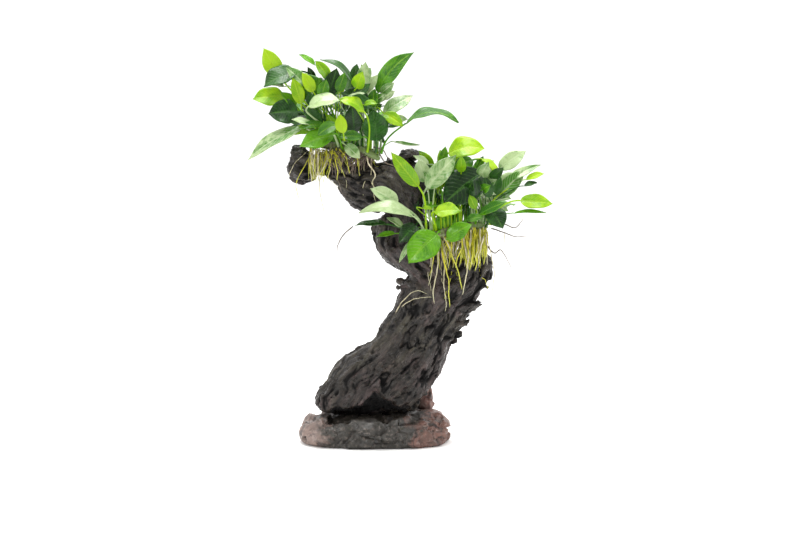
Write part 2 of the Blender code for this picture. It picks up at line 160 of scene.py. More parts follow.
# %% Floor
FLOOR_SIZE = 40.0
bm = bmesh.new()
bmesh.ops.create_grid(bm, x_segments=1, y_segments=1, size=FLOOR_SIZE / 2)
mesh = bpy.data.meshes.new("floor")
bm.to_mesh(mesh)
bm.free()
floor = bpy.data.objects.new("floor", mesh)
bpy.context.scene.collection.objects.link(floor)
finish, tree = new_finish("floor_white")
place = add(tree, "TexCoord").outputs["Object"]
tone = mix(tree, cloud(tree, place, 3.0), (0.96, 0.955, 0.945), (0.98, 0.98, 0.975))
close(tree, {"Base Color": tone, "Roughness": 0.85, "Specular IOR Level": 0.2})
mesh.materials.append(finish)
print("floor", FLOOR_SIZE, "m wide")

# %% Lights
BRIGHT_SIDE = 1.5      # sky strength behind and above
DIM_SIDE = 0.45        # sky strength on the viewer's side
LAMPS = (
    # name, place, size, watts, tint
    ("overhead", (0.0, 0.15, 1.35), 0.8, 22.0, (1.0, 1.0, 1.0)),
    ("front_left", (-1.3, -1.5, 1.3), 0.6, 15.0, (1.0, 0.99, 0.97)),
    ("right_side", (1.6, -0.5, 0.9), 0.6, 9.0, (1.0, 0.99, 0.97)),
)


def add_lamp(name, spot, size, watts, tint):
    """A square soft light that looks at the middle of the plants."""
    light = bpy.data.lights.new(name, "AREA")
    light.shape = "SQUARE"
    light.size = size
    light.energy = watts
    light.color = tint
    lamp = bpy.data.objects.new(name, light)
    lamp.location = spot
    lamp.rotation_euler = (AIM - Vector(spot)).to_track_quat("-Z", "Y").to_euler()
    bpy.context.scene.collection.objects.link(lamp)


for row in LAMPS:
    add_lamp(*row)
world = bpy.data.worlds.new("studio")
world.use_nodes = True
tree = world.node_tree
sky = tree.nodes["Background"]
sky.inputs["Color"].default_value = (1.0, 1.0, 1.0, 1.0)
heading = add(tree, "SeparateXYZ", {}, {0: add(tree, "TexCoord").outputs["Generated"]})
back = calc(tree, "ADD", heading.outputs[1], calc(tree, "MULTIPLY", heading.outputs[2], 0.6))
tree.links.new(fade(tree, back, -0.5, 0.35, DIM_SIDE, BRIGHT_SIDE), sky.inputs["Strength"])
bpy.context.scene.world = world
bpy.context.scene.view_settings.view_transform = "Standard"
print(len(LAMPS), "lamps and a sky that is bright behind and above")

# %% [markdown]
# ## Making and placing pieces
# A piece is made in one bmesh, in metres, and is put in place with its finishes. `put` also says which
# CAD nodes it stands for and hides them. `merged_copy` opens a CAD node for work: its loose triangles
# are merged first.

# %% Piece helpers
def put(name, bm, finishes, stands_for=()):
    """Turn a bmesh into a named piece that rides on the root body."""
    mesh = bpy.data.meshes.new(name)
    bm.to_mesh(mesh)
    bm.free()
    return put_mesh(name, mesh, finishes, stands_for)


def put_mesh(name, mesh, finishes, stands_for=()):
    """Put a finished mesh in the scene as a piece of the object."""
    mesh.materials.clear()
    for finish in finishes:
        mesh.materials.append(finish)
    mesh.shade_smooth()
    piece = bpy.data.objects.new(name, mesh)
    bpy.context.scene.collection.objects.link(piece)
    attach(piece, "root")
    if stands_for:
        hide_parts(*stands_for)
    return piece


def merged_copy(name, grow=0.0):
    """A CAD node's shape with its triangles merged, swollen by grow."""
    bm = bmesh.new()
    bm.from_mesh(nodes[name].data)
    bmesh.ops.remove_doubles(bm, verts=bm.verts, dist=0.000001)
    bmesh.ops.recalc_face_normals(bm, faces=bm.faces)
    bm.normal_update()
    for v in bm.verts:
        v.co += v.normal * grow
    return bm


def remeshed(bm, cell):
    """The bmesh's solid rebuilt as an even skin of square cells, its parts grown into one."""
    mesh = bpy.data.meshes.new("rough")
    bm.to_mesh(mesh)
    bm.free()
    holder = bpy.data.objects.new("rough", mesh)
    bpy.context.scene.collection.objects.link(holder)
    skin = holder.modifiers.new("skin", "REMESH")
    skin.mode = "VOXEL"
    skin.voxel_size = cell
    seen = holder.evaluated_get(bpy.context.evaluated_depsgraph_get())
    even = bpy.data.meshes.new_from_object(seen)
    bpy.data.objects.remove(holder)
    bpy.data.meshes.remove(mesh)
    return even


def bump_at(p, middle, reach):
    """1 at middle, fading to 0 over reach (by axis)."""
    d = p - middle
    return math.exp(-((d.x / reach[0]) ** 2 + (d.y / reach[1]) ** 2 + (d.z / reach[2]) ** 2))


SWAY_SHIFTS = (Vector((9.3, -1.5, -7.9)), Vector((0.7, 5.2, 3.1)), Vector((-6.3, 4.8, 11.6)))


def sway(p):
    """Soft noise with a part in each direction, the same on every run."""
    return Vector([noise.noise(p + shift) for shift in SWAY_SHIFTS])


def groove(value, width):
    """1 where value crosses zero, fading within width: a crack."""
    return math.exp(-((value / width) ** 2))


def ease(value, low, high):
    """0 below low, 1 above high, smooth between."""
    t = min(max((value - low) / (high - low), 0.0), 1.0)
    return t * t * (3.0 - 2.0 * t)


print("piece helpers ready")

# %% [markdown]
# ## Stones
# The foot is a slab of broken, pitted rock: pale pinkish brown at the left end, dark and wet under the
# wood, rusty red at the right end. Bump alone would leave its outline smooth, so the CAD outline is
# skinned with small even cells and then chipped: every patch of rock is cut along its own tilted plane,
# lines where noise crosses zero give cracks, and the peaks of finer noise pits. The underside stays level.

# %% Stone finish
def stone_finish(name, left, middle, right, wet_low, wet_high):
    """Rock whose colour changes along X, clouded and grained, darker where it is wet, with painted shade in
    its pits and cracks.
    """
    finish, tree = new_finish(name)
    where = add(tree, "TexCoord").outputs["Object"]
    x = add(tree, "SeparateXYZ", {}, {0: where}).outputs[0]
    drift = calc(tree, "MULTIPLY", calc(tree, "SUBTRACT", cloud(tree, where, 55.0, 5.0, 0.65), 0.5), 0.12)
    along = calc(tree, "ADD", x, drift)
    tone = mix(tree, fade(tree, along, wet_low - 0.02, wet_low + 0.004), left, middle)
    tone = mix(tree, fade(tree, along, wet_high - 0.014, wet_high + 0.01), tone, right)
    clouds = cloud(tree, where, 60.0, 5.0, 0.65, 0.4)
    tone = mix(tree, fade(tree, clouds, 0.32, 0.6, 0.6, 0.0), tone, (0.030, 0.026, 0.021))
    grains = cloud(tree, where, 330.0, 4.0, 0.65)
    pale = mix(tree, 0.5, tone, (0.55, 0.44, 0.38))
    tone = mix(tree, fade(tree, grains, 0.50, 0.78, 0.0, 0.5), tone, pale)
    # painted shade: pits, cracks and low places go near black
    painted_shade = reading(tree, "painted_shade")
    tone = mix(tree, fade(tree, painted_shade, -1.6, -0.2, 0.85, 0.0), tone, (0.012, 0.009, 0.008))
    gloss = fade(tree, cloud(tree, where, 130.0, 3.0), 0.35, 0.65, 0.25, 0.7)
    height = calc(tree, "ADD", calc(tree, "MULTIPLY", grains, 0.6), clouds)
    bump = add(tree, "Bump", {}, {"Strength": 0.8, "Distance": 0.0014, "Height": height}).outputs[0]
    body = {"Base Color": tone, "Roughness": gloss, "Normal": bump}
    close(tree, {**body, "Coat Weight": 0.12, "Coat Roughness": 0.15})
    return finish


slab_finish = stone_finish(
    "slab_rock", (0.23, 0.16, 0.135), (0.022, 0.019, 0.014), (0.17, 0.080, 0.060), -0.048, 0.048)
wedge_finish = stone_finish(
    "wedge_rock", (0.14, 0.09, 0.075), (0.12, 0.07, 0.055), (0.21, 0.10, 0.08), 0.03, 0.05)
print("two stone finishes")

# %% Chip the stones
STONE_CELL = 1.25 * MM
LEVEL_ZONE = 5.0       # mm over which the chipping starts above the underside
CHIP_RANGE = (-4.5, 2.2)  # mm: the deepest and the proudest chip


def broken_faces(p, size, tilt, step):
    """Flat broken faces: every cell of the rock is cut along its own tilted plane."""
    seat = noise.voronoi(p / size)[1][0]
    lean = sway(seat * 5.3)
    return (p / size - seat).dot(lean) * size * tilt + noise.noise(seat * 3.1) * step


def chipped(name, finish, depth, floor_z):
    """A CAD stone with chips, pits and dents, scaled by depth; nothing moves at its underside."""
    mesh = remeshed(merged_copy(name), STONE_CELL)
    mesh.update()
    low = floor_z / MM
    painted_shade = mesh.attributes.new("painted_shade", "FLOAT", "POINT")
    outward = [v.normal.copy() for v in mesh.vertices]
    for v in mesh.vertices:
        p = v.co / MM
        q = p + sway(p / 11.0) * 6.0
        slabs = Vector((p.x, p.y, p.z * 1.5)) + sway(p / 9.0) * 1.5
        chips = broken_faces(slabs, size=24.0, tilt=1.1, step=3.2)
        chips += broken_faces(slabs, size=11.0, tilt=0.6, step=1.4)
        cracks = groove(noise.noise(q / 19.0 + Vector((7.0, 3.0, 1.0))), 0.04)
        rough = 0.6 * noise.noise(p / 5.0) + 0.45 * noise.noise(p / 2.6) + 0.3 * noise.noise(p / 1.5)
        pits = -1.5 * cracks - 1.2 * ease(noise.noise(p / 7.5), 0.36, 0.55)
        dent = 2.0 * noise.noise(p / 25.0)
        move = depth * min(max(chips + rough + pits + dent, CHIP_RANGE[0]), CHIP_RANGE[1])
        share = ease(p.z - low, 0.0, LEVEL_ZONE)
        p = v.co + outward[v.index] * (move * share * MM)
        p.z = max(p.z, floor_z)
        v.co = p
        # painted shade: the pits, cracks and low rough places are stored to be painted darker
        painted_shade.data[v.index].value = pits + 0.7 * rough
    piece = put_mesh(name + "_rock", mesh, [finish], [name])
    print(piece.name, len(mesh.polygons), "faces")


chipped("base_stone", slab_finish, 1.0, 0.0)
chipped("back_stone", wedge_finish, 0.4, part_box("back_stone")[0].z)

# %% [markdown]
# ## Driftwood
# Old root wood: soft wood has rotted away and left deep cracks that follow the fibres, knots and
# hollows. All limbs are one grown piece, so the CAD limbs are swollen by a hair, joined and skinned
# together. Plain noise would give a potato, because it doesn't know which way the fibres run. So each
# point first finds the nearest place on the limb's middle line. That gives fibre coordinates: across,
# depth and along. Noise stretched along the fibres carves ridges and cracks that turn with the limb.

# %% Middle lines of the limbs
TRUNK_LINE = ((-26, -3, 18), (-14, -2, 46), (8, 0, 75), (32, 1, 102), (50, 1, 128), (64, 0, 152))
ELBOW_LINE = ((64, 0, 152), (60, 1, 170), (44, 2, 188), (31, 2, 208), (28, 1, 226), (20, 0, 246),
              (4, 0, 257), (-18, 0, 261), (-40, 0, 275), (-60, 0, 279), (-90, 0, 281))
SHELF_LINE = ((64, 0, 152), (84, 0, 170), (98, 0, 196))
LINE_STEPS = 14        # steps between two points of a line
SHELF_SHIFT = 40.0     # mm, so that the shelf's fibres don't repeat the elbow's


def smooth_line(points, steps):
    """A smooth line through the points, with that many steps between each two."""
    knots = [Vector(p) for p in points]
    knots = [knots[0] * 2 - knots[1]] + knots + [knots[-1] * 2 - knots[-2]]
    line = []
    for a, b, c, d in zip(knots, knots[1:], knots[2:], knots[3:]):
        for k in range(steps):
            t = k / steps
            bend = (a * 2 - b * 5 + c * 4 - d) * t * t + (b * 3 - a - c * 3 + d) * t**3
            line.append((b * 2 + (c - a) * t + bend) * 0.5)
    line.append(knots[-2])
    return line


def measured(line, start):
    """(point, direction, distance from the start) for every point of a line."""
    rows = []
    run = start
    for k, p in enumerate(line):
        ahead = (line[min(k + 1, len(line) - 1)] - line[max(k - 1, 0)]).normalized()
        if k:
            run += (p - line[k - 1]).length
        rows.append((p, ahead, run))
    return rows


trunk_rows = measured(smooth_line(TRUNK_LINE, LINE_STEPS), 0.0)
fork_run = trunk_rows[-1][2]
grain_rows = trunk_rows + measured(smooth_line(ELBOW_LINE, LINE_STEPS), fork_run)
grain_rows += measured(smooth_line(SHELF_LINE, LINE_STEPS), fork_run + SHELF_SHIFT)
grain_tree = kdtree.KDTree(len(grain_rows))
for i, (p, ahead, run) in enumerate(grain_rows):
    grain_tree.insert(p, i)
grain_tree.balance()


def fibre_place(p):
    """Across, depth and along the fibres, in mm, of a point in mm."""
    _, i, _ = grain_tree.find(p)
    middle, ahead, run = grain_rows[i]
    d = p - middle
    on = d.dot(ahead)
    d -= ahead * on
    across = Vector((ahead.z, 0.0, -ahead.x))
    return Vector((d.dot(across), d.y, run + on))


def squeezed(q, across, along, shift=0.0):
    """A fibre place scaled so that noise taken there has marks that wide across and along the fibres."""
    return Vector((q.x / across, q.y / across, q.z / along + shift))


print("limb lines measure", round(fork_run), "mm to the fork")

# %% Splinters
# root, tip, thickness at the root: broken fibre ends, mostly on the weathered right flank.
SPLINTERS = (
    ((88, -10, 138), (108, -16, 144), 5.4), ((84, 4, 144), (113, 2, 149), 5.4),
    ((82, -2, 126), (103, 1, 130), 5.4), ((86, 10, 136), (110, 14, 138), 5.4),
    ((76, -8, 119), (94, -12, 124), 4.8), ((74, 10, 112), (94, 12, 116), 5.0),
    ((70, -8, 109), (87, -11, 112), 4.4), ((66, 4, 98), (84, 6, 101), 4.6),
    ((100, -8, 160), (115, -12, 157), 4.8), ((100, 8, 158), (117, 10, 160), 4.8),
    ((38, -14, 160), (24, -17, 165), 5.2), ((38, -6, 154), (22, -8, 158), 5.2),
    ((36, 8, 158), (21, 10, 162), 5.2), ((50, 16, 150), (44, 30, 156), 5.0),
    ((28, -2, 283), (22, -3, 292), 4.0), ((12, 4, 280), (13, 6, 288), 4.0),
    ((-2, -4, 278), (-3, -9, 286), 4.2), ((34, 6, 284), (41, 8, 292), 4.2),
    ((-70, 4, 294), (-73, 6, 301), 4.6), ((-76, -6, 268), (-80, -8, 262), 4.2),
    ((-40, -20, 44), (-54, -26, 50), 5.0), ((44, -14, 60), (52, -20, 50), 4.6),
)
SPLINTER_TIP = 2.0     # mm


def add_splinter(bm, root, tip, thick):
    """A six-sided tapering splinter, turned to point from root to tip."""
    root, tip = Vector(root) * MM, Vector(tip) * MM
    way = tip - root
    turn = way.to_track_quat("Z", "Y").to_matrix().to_4x4()
    place = Matrix.Translation((root + tip) / 2) @ turn
    size = {"radius1": thick * MM, "radius2": SPLINTER_TIP * MM, "depth": way.length}
    bmesh.ops.create_cone(bm, cap_ends=True, segments=6, matrix=place, **size)


WOOD = ("driftwood_trunk", "driftwood_shelf", "driftwood_elbow", "driftwood_arm", "driftwood_knob",
        "driftwood_spike", "driftwood_stub")
LIMB_SWELL = 0.35 * MM
ROUGH_CELL = 1.6 * MM
WOOD_CELL = 1.25 * MM
limbs = bmesh.new()
for name in WOOD:
    limb = merged_copy(name, LIMB_SWELL)
    mesh = bpy.data.meshes.new("limb")
    limb.to_mesh(mesh)
    limb.free()
    limbs.from_mesh(mesh)
    bpy.data.meshes.remove(mesh)
for row in SPLINTERS:
    add_splinter(limbs, *row)
rough_mesh = remeshed(limbs, ROUGH_CELL)
print("rough wood:", len(rough_mesh.polygons), "faces")

# %% Carve the wood
# middle, reach by axis, depth: hollows and long grooves of the front and back, and the round foot.
HOLLOWS = (
    ((2, -36, 55), (4.0, 8, 4.0), 5.0), ((33, -28, 120), (4.5, 8, 5.0), 3.5),
    ((10, -34, 76), (3.0, 9, 16.0), 4.5), ((37, -28, 106), (3.0, 8, 6.0), 3.0),
    ((41, -30, 84), (3.0, 8, 6.0), 3.0), ((25, -34, 70), (4.0, 8, 3.5), 3.0),
    ((-20, -38, 74), (3.0, 9, 9.0), 3.5), ((-32, -38, 60), (3.0, 9, 9.0), 3.0),
    ((54, -28, 138), (5.0, 8, 9.0), 3.0), ((50, -26, 168), (8, 9, 5), 5.0),
    ((58, -27, 100), (3.0, 8, 13.0), 3.2), ((64, -24, 128), (4.0, 8, 9.0), 3.0),
    ((98, -26, 174), (5.0, 8, 4.0), 3.0), ((108, -22, 182), (4.0, 8, 4.0), 2.5),
    ((24, 30, 70), (9.0, 9, 14.0), 6.0), ((52, 30, 120), (6.0, 9, 16.0), 5.0),
    ((-22, 26, 46), (10.0, 9, 8.0), 5.0), ((30, 28, 190), (8.0, 8, 9.0), 4.0),
    ((-72, -17, 281), (5.0, 8, 4.0), 4.0), ((-74, 17, 278), (5.0, 8, 5.0), 4.0),
    ((36, -20, 262), (6.0, 8, 5.0), 3.0), ((26, -20, 279), (6.0, 8, 3.5), 3.0),
    ((-56, -16, 37), (9.0, 16, 8.0), -4.0), ((-50, -22, 56), (5.0, 14, 4.0), 3.0),
    ((-8, -36, 66), (4.0, 9, 7.0), 5.0), ((30, -34, 52), (3.0, 9, 9.0), 4.0),
    ((20, -34, 92), (2.5, 8, 10.0), 3.5), ((46, -30, 116), (3.0, 8, 10.0), 3.5),
)
HOLLOWS = [(Vector(middle), reach, depth) for middle, reach, depth in HOLLOWS]
CARVE_HEIGHTS = (26.5, 31.0)  # mm: no carving below the first, full carving above the second
FADED = 2.4            # reaches from its middle at which a hollow has faded out
SHRINK = 0.7           # mm that the whole surface is lowered, so that the ridges keep the outline


def ridges(q):
    """How far a fibre place is from the nearest line of big ridges: 0 on their backs."""
    return abs(noise.noise(squeezed(q, 9.0, 38.0, 5.0)))


def lumpy(p):
    """The rough shape at a point (mm): swellings, torn plates along the fibres, and hollows."""
    q = fibre_place(p) + sway(p / 20.0) * 6.0
    move = 2.4 * noise.noise(squeezed(q, 20.0, 44.0))
    move += 5.0 * (0.22 - ridges(q)) + 1.2 * noise.noise(squeezed(q, 7.0, 24.0))
    plate = noise.voronoi(squeezed(q, 13.0, 60.0))[1][0]
    move += 3.6 * noise.noise(plate * 4.7)
    for middle, reach, depth in HOLLOWS:
        if abs(p.x - middle.x) < reach[0] * FADED and abs(p.z - middle.z) < reach[2] * FADED:
            move -= depth * bump_at(p, middle, reach)
    return move - SHRINK


def tucked(p):
    """How far the foot recedes (mm) under the front of the trunk, above the stone."""
    top = 42.0 + 15.0 * math.exp(-(((p.x - 2.0) / 13.0) ** 2)) + 5.0 * noise.noise(p / 9.0)
    low = 1.0 - ease(p.z, top - 12.0, top)
    side = ease(p.x, -48.0, -34.0) * (1.0 - ease(p.x, 20.0, 36.0))
    return 19.0 * low * ease(-p.y, 2.0, 20.0) * side


def cracks(p):
    """The finer carving at a point (mm) and the painted shade there: cracks along the fibres, and flakes.
    """
    q = fibre_place(p) + sway(p / 16.0) * 5.0
    worn = 0.35 + 0.65 * ease(noise.noise(p / 30.0 + Vector((5.0, 0.0, 0.0))), -0.28, 0.12)
    deep = groove(noise.noise(squeezed(q, 10.0, 58.0, 3.0)), 0.075) * worn
    fine = groove(noise.noise(squeezed(q, 5.0, 28.0, 9.0)), 0.09) * worn
    thin = groove(noise.noise(squeezed(q, 2.7, 16.0, 17.0)), 0.13) * worn
    pits = ease(noise.noise(squeezed(q, 5.0, 10.0)), 0.38, 0.55)
    flake = noise.voronoi(squeezed(q, 4.5, 34.0))[1][0]
    grain = 0.35 * noise.noise(squeezed(q, 1.5, 12.0)) + 0.8 * noise.noise(flake * 3.9)
    move = grain - 2.8 * deep - 1.5 * fine - 0.6 * thin - 1.3 * pits + 0.4
    # painted shade: darker in the cracks, pits and the valleys between ridges, plus a painted shadow under
    # the tucked foot
    dark = 0.75 * deep + 0.5 * fine + 0.2 * thin + 0.5 * pits + 0.3 * ease(ridges(q), 0.12, 0.4)
    return move, dark + ease(tucked(p), 1.0, 7.0)


def carve(mesh, moves):
    """Move every point of a mesh outwards by its own share of mm; nothing moves against the stone."""
    outward = [v.normal.copy() for v in mesh.vertices]
    for v, move in zip(mesh.vertices, moves):
        height = (v.co / MM).z
        v.co += outward[v.index] * (move * ease(height, *CARVE_HEIGHTS) * MM)
    mesh.update()


def drop_crumbs(mesh):
    """Keep only the biggest connected body of a mesh: thin splinters may have come off."""
    bm = bmesh.new()
    bm.from_mesh(mesh)
    left, bodies = set(bm.verts), []
    while left:
        start = left.pop()
        body = edge = {start}
        while edge:
            near = {e.other_vert(v) for v in edge for e in v.link_edges}
            edge = near - body
            body = body | edge
        left -= body
        bodies.append(body)
    bodies.sort(key=len)
    bmesh.ops.delete(bm, geom=[v for body in bodies[:-1] for v in body], context="VERTS")
    bm.to_mesh(mesh)
    bm.free()
    return len(bodies) - 1


places = [v.co / MM for v in rough_mesh.vertices]
carve(rough_mesh, [lumpy(p) for p in places])
for v, p in zip(rough_mesh.vertices, places):
    v.co.y += tucked(p) * MM
limbs = bmesh.new()
limbs.from_mesh(rough_mesh)
wood_mesh = remeshed(limbs, WOOD_CELL)
print("crumbs dropped:", drop_crumbs(wood_mesh))

# %% Cut the cracks
# painted shade: every point keeps how dark its cracks and the tucked foot are painted
wood_mesh.attributes.new("painted_shade", "FLOAT", "POINT")
wood_mesh.attributes.new("fibre", "FLOAT_VECTOR", "POINT")
painted_shade, fibre = wood_mesh.attributes["painted_shade"], wood_mesh.attributes["fibre"]
moves = []
for v in wood_mesh.vertices:
    move, painted_shade.data[v.index].value = cracks(v.co / MM)
    fibre.data[v.index].vector = fibre_place(v.co / MM) * MM
    moves.append(move)
carve(wood_mesh, moves)
print("carved", len(wood_mesh.vertices), "points")

# %% [markdown]
# The wood is almost black with wet. Ridges are purple-grey, the middle of the trunk green-grey, and
# cracks, pits and the valleys between ridges are painted near black as shade, with a painted shadow
# under the tucked-in foot. A coat all over would look like plastic, so the wet is in the roughness instead:
# glossy patches on the ridges, dull cracks. The finest grain is too fine for the mesh. It is bump,
# stretched along the fibres with the stored fibre coordinates.

# %% Wood finish
def wood_finish():
    """Wet, weathered wood; it reads the painted shade of the cracks and the fibre places kept on the mesh.
    """
    finish, tree = new_finish("wet_driftwood")
    where = add(tree, "TexCoord").outputs["Object"]
    fibre = reading(tree, "fibre", "Vector")
    streaks = cloud(tree, stretched(tree, fibre, (420.0, 420.0, 55.0)), 1.0, 5.0, 0.65)
    broad = cloud(tree, stretched(tree, fibre, (95.0, 95.0, 22.0)), 1.0, 4.0, 0.6, 0.4)
    zones = cloud(tree, where, 22.0, 3.0)
    purple, olive = (0.052, 0.035, 0.033), (0.042, 0.036, 0.024)
    tone = mix(tree, fade(tree, zones, 0.42, 0.56), purple, olive)
    tone = mix(tree, fade(tree, broad, 0.42, 0.62), (0.013, 0.0095, 0.007), tone)
    tone = mix(tree, fade(tree, streaks, 0.52, 0.76, 0.0, 0.6), tone, (0.13, 0.10, 0.08))
    # painted shade: cracks, pits and the tucked foot go near black
    dark = reading(tree, "painted_shade")
    tone = mix(tree, fade(tree, dark, 0.0, 0.8), tone, (0.0012, 0.0009, 0.0008))
    shine = fade(tree, cloud(tree, where, 170.0, 4.0, 0.7), 0.40, 0.62, 0.14, 0.6)
    gloss = calc(tree, "MAXIMUM", shine, fade(tree, dark, 0.2, 0.7, 0.0, 0.9))
    height = calc(tree, "ADD", streaks, calc(tree, "MULTIPLY", broad, 0.8))
    bump = add(tree, "Bump", {}, {"Strength": 0.85, "Distance": 0.0014, "Height": height}).outputs[0]
    close(tree, {"Base Color": tone, "Roughness": gloss, "Normal": bump, "Specular IOR Level": 0.35})
    return finish


wood = put_mesh("driftwood_root", wood_mesh, [wood_finish()], WOOD)
wood_skin = BVHTree.FromObject(wood, bpy.context.evaluated_depsgraph_get())
print("driftwood_root", len(wood_mesh.polygons), "faces")

# %% [markdown]
# ## Leaf finishes
# An anubias blade is leathery: a pale midrib, side veins that leave it and sweep towards the tip, a
# painted glow of light let through at its thin margin, and a paler underside. Wet, it mirrors the light
# above. The blade's own UV map runs along the leaf (U) and across it (V), so the veins follow every bend.
# Some light passes through, so a share of translucent shader is mixed in.

# %% Blade finish
VEINS = 11.0           # side veins along one blade
VEIN_SWEEP = 2.7       # how far they run towards the tip, in vein spacings


def blade_finish(name, deep, light, vein, under, gloss, through, coat, blotch):
    """A blade blotched from deep to light, with veins of a third colour and its own underside."""
    finish, tree = new_finish(name)
    where = add(tree, "TexCoord").outputs["Object"]
    flat = add(tree, "TexCoord").outputs["UV"]
    parts = add(tree, "SeparateXYZ", {}, {0: flat})
    u, v = parts.outputs[0], parts.outputs[1]
    off = calc(tree, "ABSOLUTE", calc(tree, "SUBTRACT", calc(tree, "MULTIPLY", v, 2.0), 1.0))
    sweep = calc(tree, "MULTIPLY", calc(tree, "POWER", off, 1.25), VEIN_SWEEP)
    wander = calc(tree, "MULTIPLY", calc(tree, "SUBTRACT", cloud(tree, where, 160.0, 2.0), 0.5), 0.5)
    run = calc(tree, "ADD", calc(tree, "SUBTRACT", calc(tree, "MULTIPLY", u, VEINS), sweep), wander)
    near = calc(tree, "PINGPONG", run, 0.5)
    veins = fade(tree, near, 0.02, 0.14, 1.0, 0.0)
    rib = fade(tree, off, 0.03, 0.13, 1.0, 0.0)
    patches = cloud(tree, where, 75.0, 4.0, 0.6, 0.5)
    fine = cloud(tree, where, 900.0, 3.0, 0.6)
    shift = calc(tree, "MULTIPLY", calc(tree, "SUBTRACT", reading(tree, "tint"), 0.5), 0.35)
    share = fade(tree, calc(tree, "ADD", patches, shift), 0.5 - blotch * 0.35, 0.5 + blotch * 0.35)
    tone = mix(tree, share, deep, light)
    tone = mix(tree, calc(tree, "MULTIPLY", veins, 0.35), tone, vein)
    tone = mix(tree, calc(tree, "MULTIPLY", rib, 0.7), tone, vein)
    # painted light: the thin margin is made lighter, as if lit through from behind
    tone = mix(tree, fade(tree, off, 0.86, 1.0, 0.0, 0.55), tone, light)
    tone = mix(tree, calc(tree, "MULTIPLY", fine, 0.18), tone, deep)
    below = reading(tree, "under")
    back = mix(tree, calc(tree, "MULTIPLY", veins, 0.5), under, vein)
    tone = mix(tree, below, tone, back)
    rough = fade(tree, cloud(tree, where, 210.0, 3.0), 0.3, 0.7, gloss, gloss + 0.18)
    sunk = calc(tree, "ADD", calc(tree, "MULTIPLY", veins, -0.8), calc(tree, "MULTIPLY", rib, -0.6))
    height = calc(tree, "ADD", sunk, calc(tree, "MULTIPLY", fine, 0.35))
    bump = add(tree, "Bump", {}, {"Strength": 0.5, "Distance": 0.0005, "Height": height}).outputs[0]
    body = {"Base Color": tone, "Roughness": rough, "Normal": bump}
    body.update({"Coat Weight": coat, "Coat Roughness": 0.06, "Specular IOR Level": 0.3})
    shader = add(tree, "BsdfPrincipled", {}, body)
    glow = add(tree, "BsdfTranslucent", {}, {"Color": tone, "Normal": bump})
    both = add(tree, "MixShader", {}, {0: through, 1: shader.outputs[0], 2: glow.outputs[0]})
    add(tree, "OutputMaterial", {}, {"Surface": both.outputs[0]})
    return finish


BLADE_TONES = {
    # name, deep, light, vein, under; roughness, light let through, coat, softness of the blotches
    "leaf_young": ("young_blade", (0.17, 0.40, 0.002), (0.42, 0.64, 0.006), (0.52, 0.70, 0.04),
                   (0.28, 0.46, 0.012), 0.28, 0.38, 0.2, 0.5),
    "leaf_mid": ("grown_blade", (0.022, 0.13, 0.001), (0.13, 0.38, 0.003), (0.24, 0.46, 0.03),
                 (0.15, 0.31, 0.015), 0.24, 0.3, 0.2, 0.5),
    "leaf_dark": ("old_blade", (0.004, 0.026, 0.002), (0.022, 0.105, 0.006), (0.06, 0.17, 0.02),
                  (0.045, 0.13, 0.015), 0.22, 0.18, 0.15, 0.5),
    # painted sheen: the whitish light, vein and underside colours stand in for the overhead light mirrored
    # by the wet blade, on top of its real glossy coat
    "leaf_pale": ("sheeny_blade", (0.06, 0.20, 0.015), (0.46, 0.58, 0.30), (0.58, 0.68, 0.40),
                  (0.42, 0.52, 0.27), 0.16, 0.22, 0.4, 0.4),
}
BLADES = {slot: blade_finish(*row) for slot, row in BLADE_TONES.items()}
print(len(BLADES), "blade finishes")

# %% Stalk finish
def streaky_finish(name, low, high, tip, rough, scale=260.0):
    """Stalks, stems and roots: two tones in soft bands, paler towards the tip."""
    finish, tree = new_finish(name)
    where = add(tree, "TexCoord").outputs["Object"]
    bands = cloud(tree, stretched(tree, where, (1.0, 1.0, 0.35)), scale, 4.0, 0.6)
    tone = mix(tree, fade(tree, bands, 0.36, 0.64), low, high)
    tone = mix(tree, fade(tree, reading(tree, "age"), 0.3, 1.0, 0.0, 0.75), tone, tip)
    spots = cloud(tree, where, 700.0, 3.0, 0.6)
    tone = mix(tree, fade(tree, spots, 0.56, 0.72, 0.0, 0.4), tone, low)
    gloss = fade(tree, bands, 0.3, 0.7, rough, rough + 0.2)
    bump = add(tree, "Bump", {}, {"Strength": 0.5, "Distance": 0.0003, "Height": spots}).outputs[0]
    body = {"Base Color": tone, "Roughness": gloss, "Normal": bump}
    close(tree, {**body, "Coat Weight": 0.3, "Coat Roughness": 0.15})
    return finish


STALK_TONES = {
    # name, two tones, tip, roughness
    "leaf_young": ("young_stalk", (0.16, 0.36, 0.03), (0.30, 0.52, 0.07), (0.36, 0.60, 0.09), 0.3),
    "leaf_mid": ("grown_stalk", (0.09, 0.24, 0.03), (0.19, 0.38, 0.06), (0.16, 0.36, 0.05), 0.3),
    "leaf_dark": ("old_stalk", (0.06, 0.15, 0.03), (0.13, 0.26, 0.05), (0.06, 0.17, 0.04), 0.3),
    "leaf_pale": ("sheeny_stalk", (0.14, 0.27, 0.05), (0.28, 0.42, 0.11), (0.34, 0.48, 0.2), 0.3),
}
STALKS = {slot: streaky_finish(*row) for slot, row in STALK_TONES.items()}
print(len(STALKS), "stalk finishes")

# %% [markdown]
# ## Growing a leaf
# A blade starts as a flat grid, which is laid on a curved surface: the CAD leaf gives its base, tip,
# arch, width, the way it faces and how far it is folded. One formula for all points keeps every leaf
# smooth, where a picture of a leaf on a card would look flat from the side. On that come the sunk midrib,
# soft quilting between the side veins and a wavy margin; then the sheet gets its thickness. The stalk is a
# grid rolled into a tube. It starts inside the creeping stem as a sheath and runs on under the blade as
# the raised midrib.

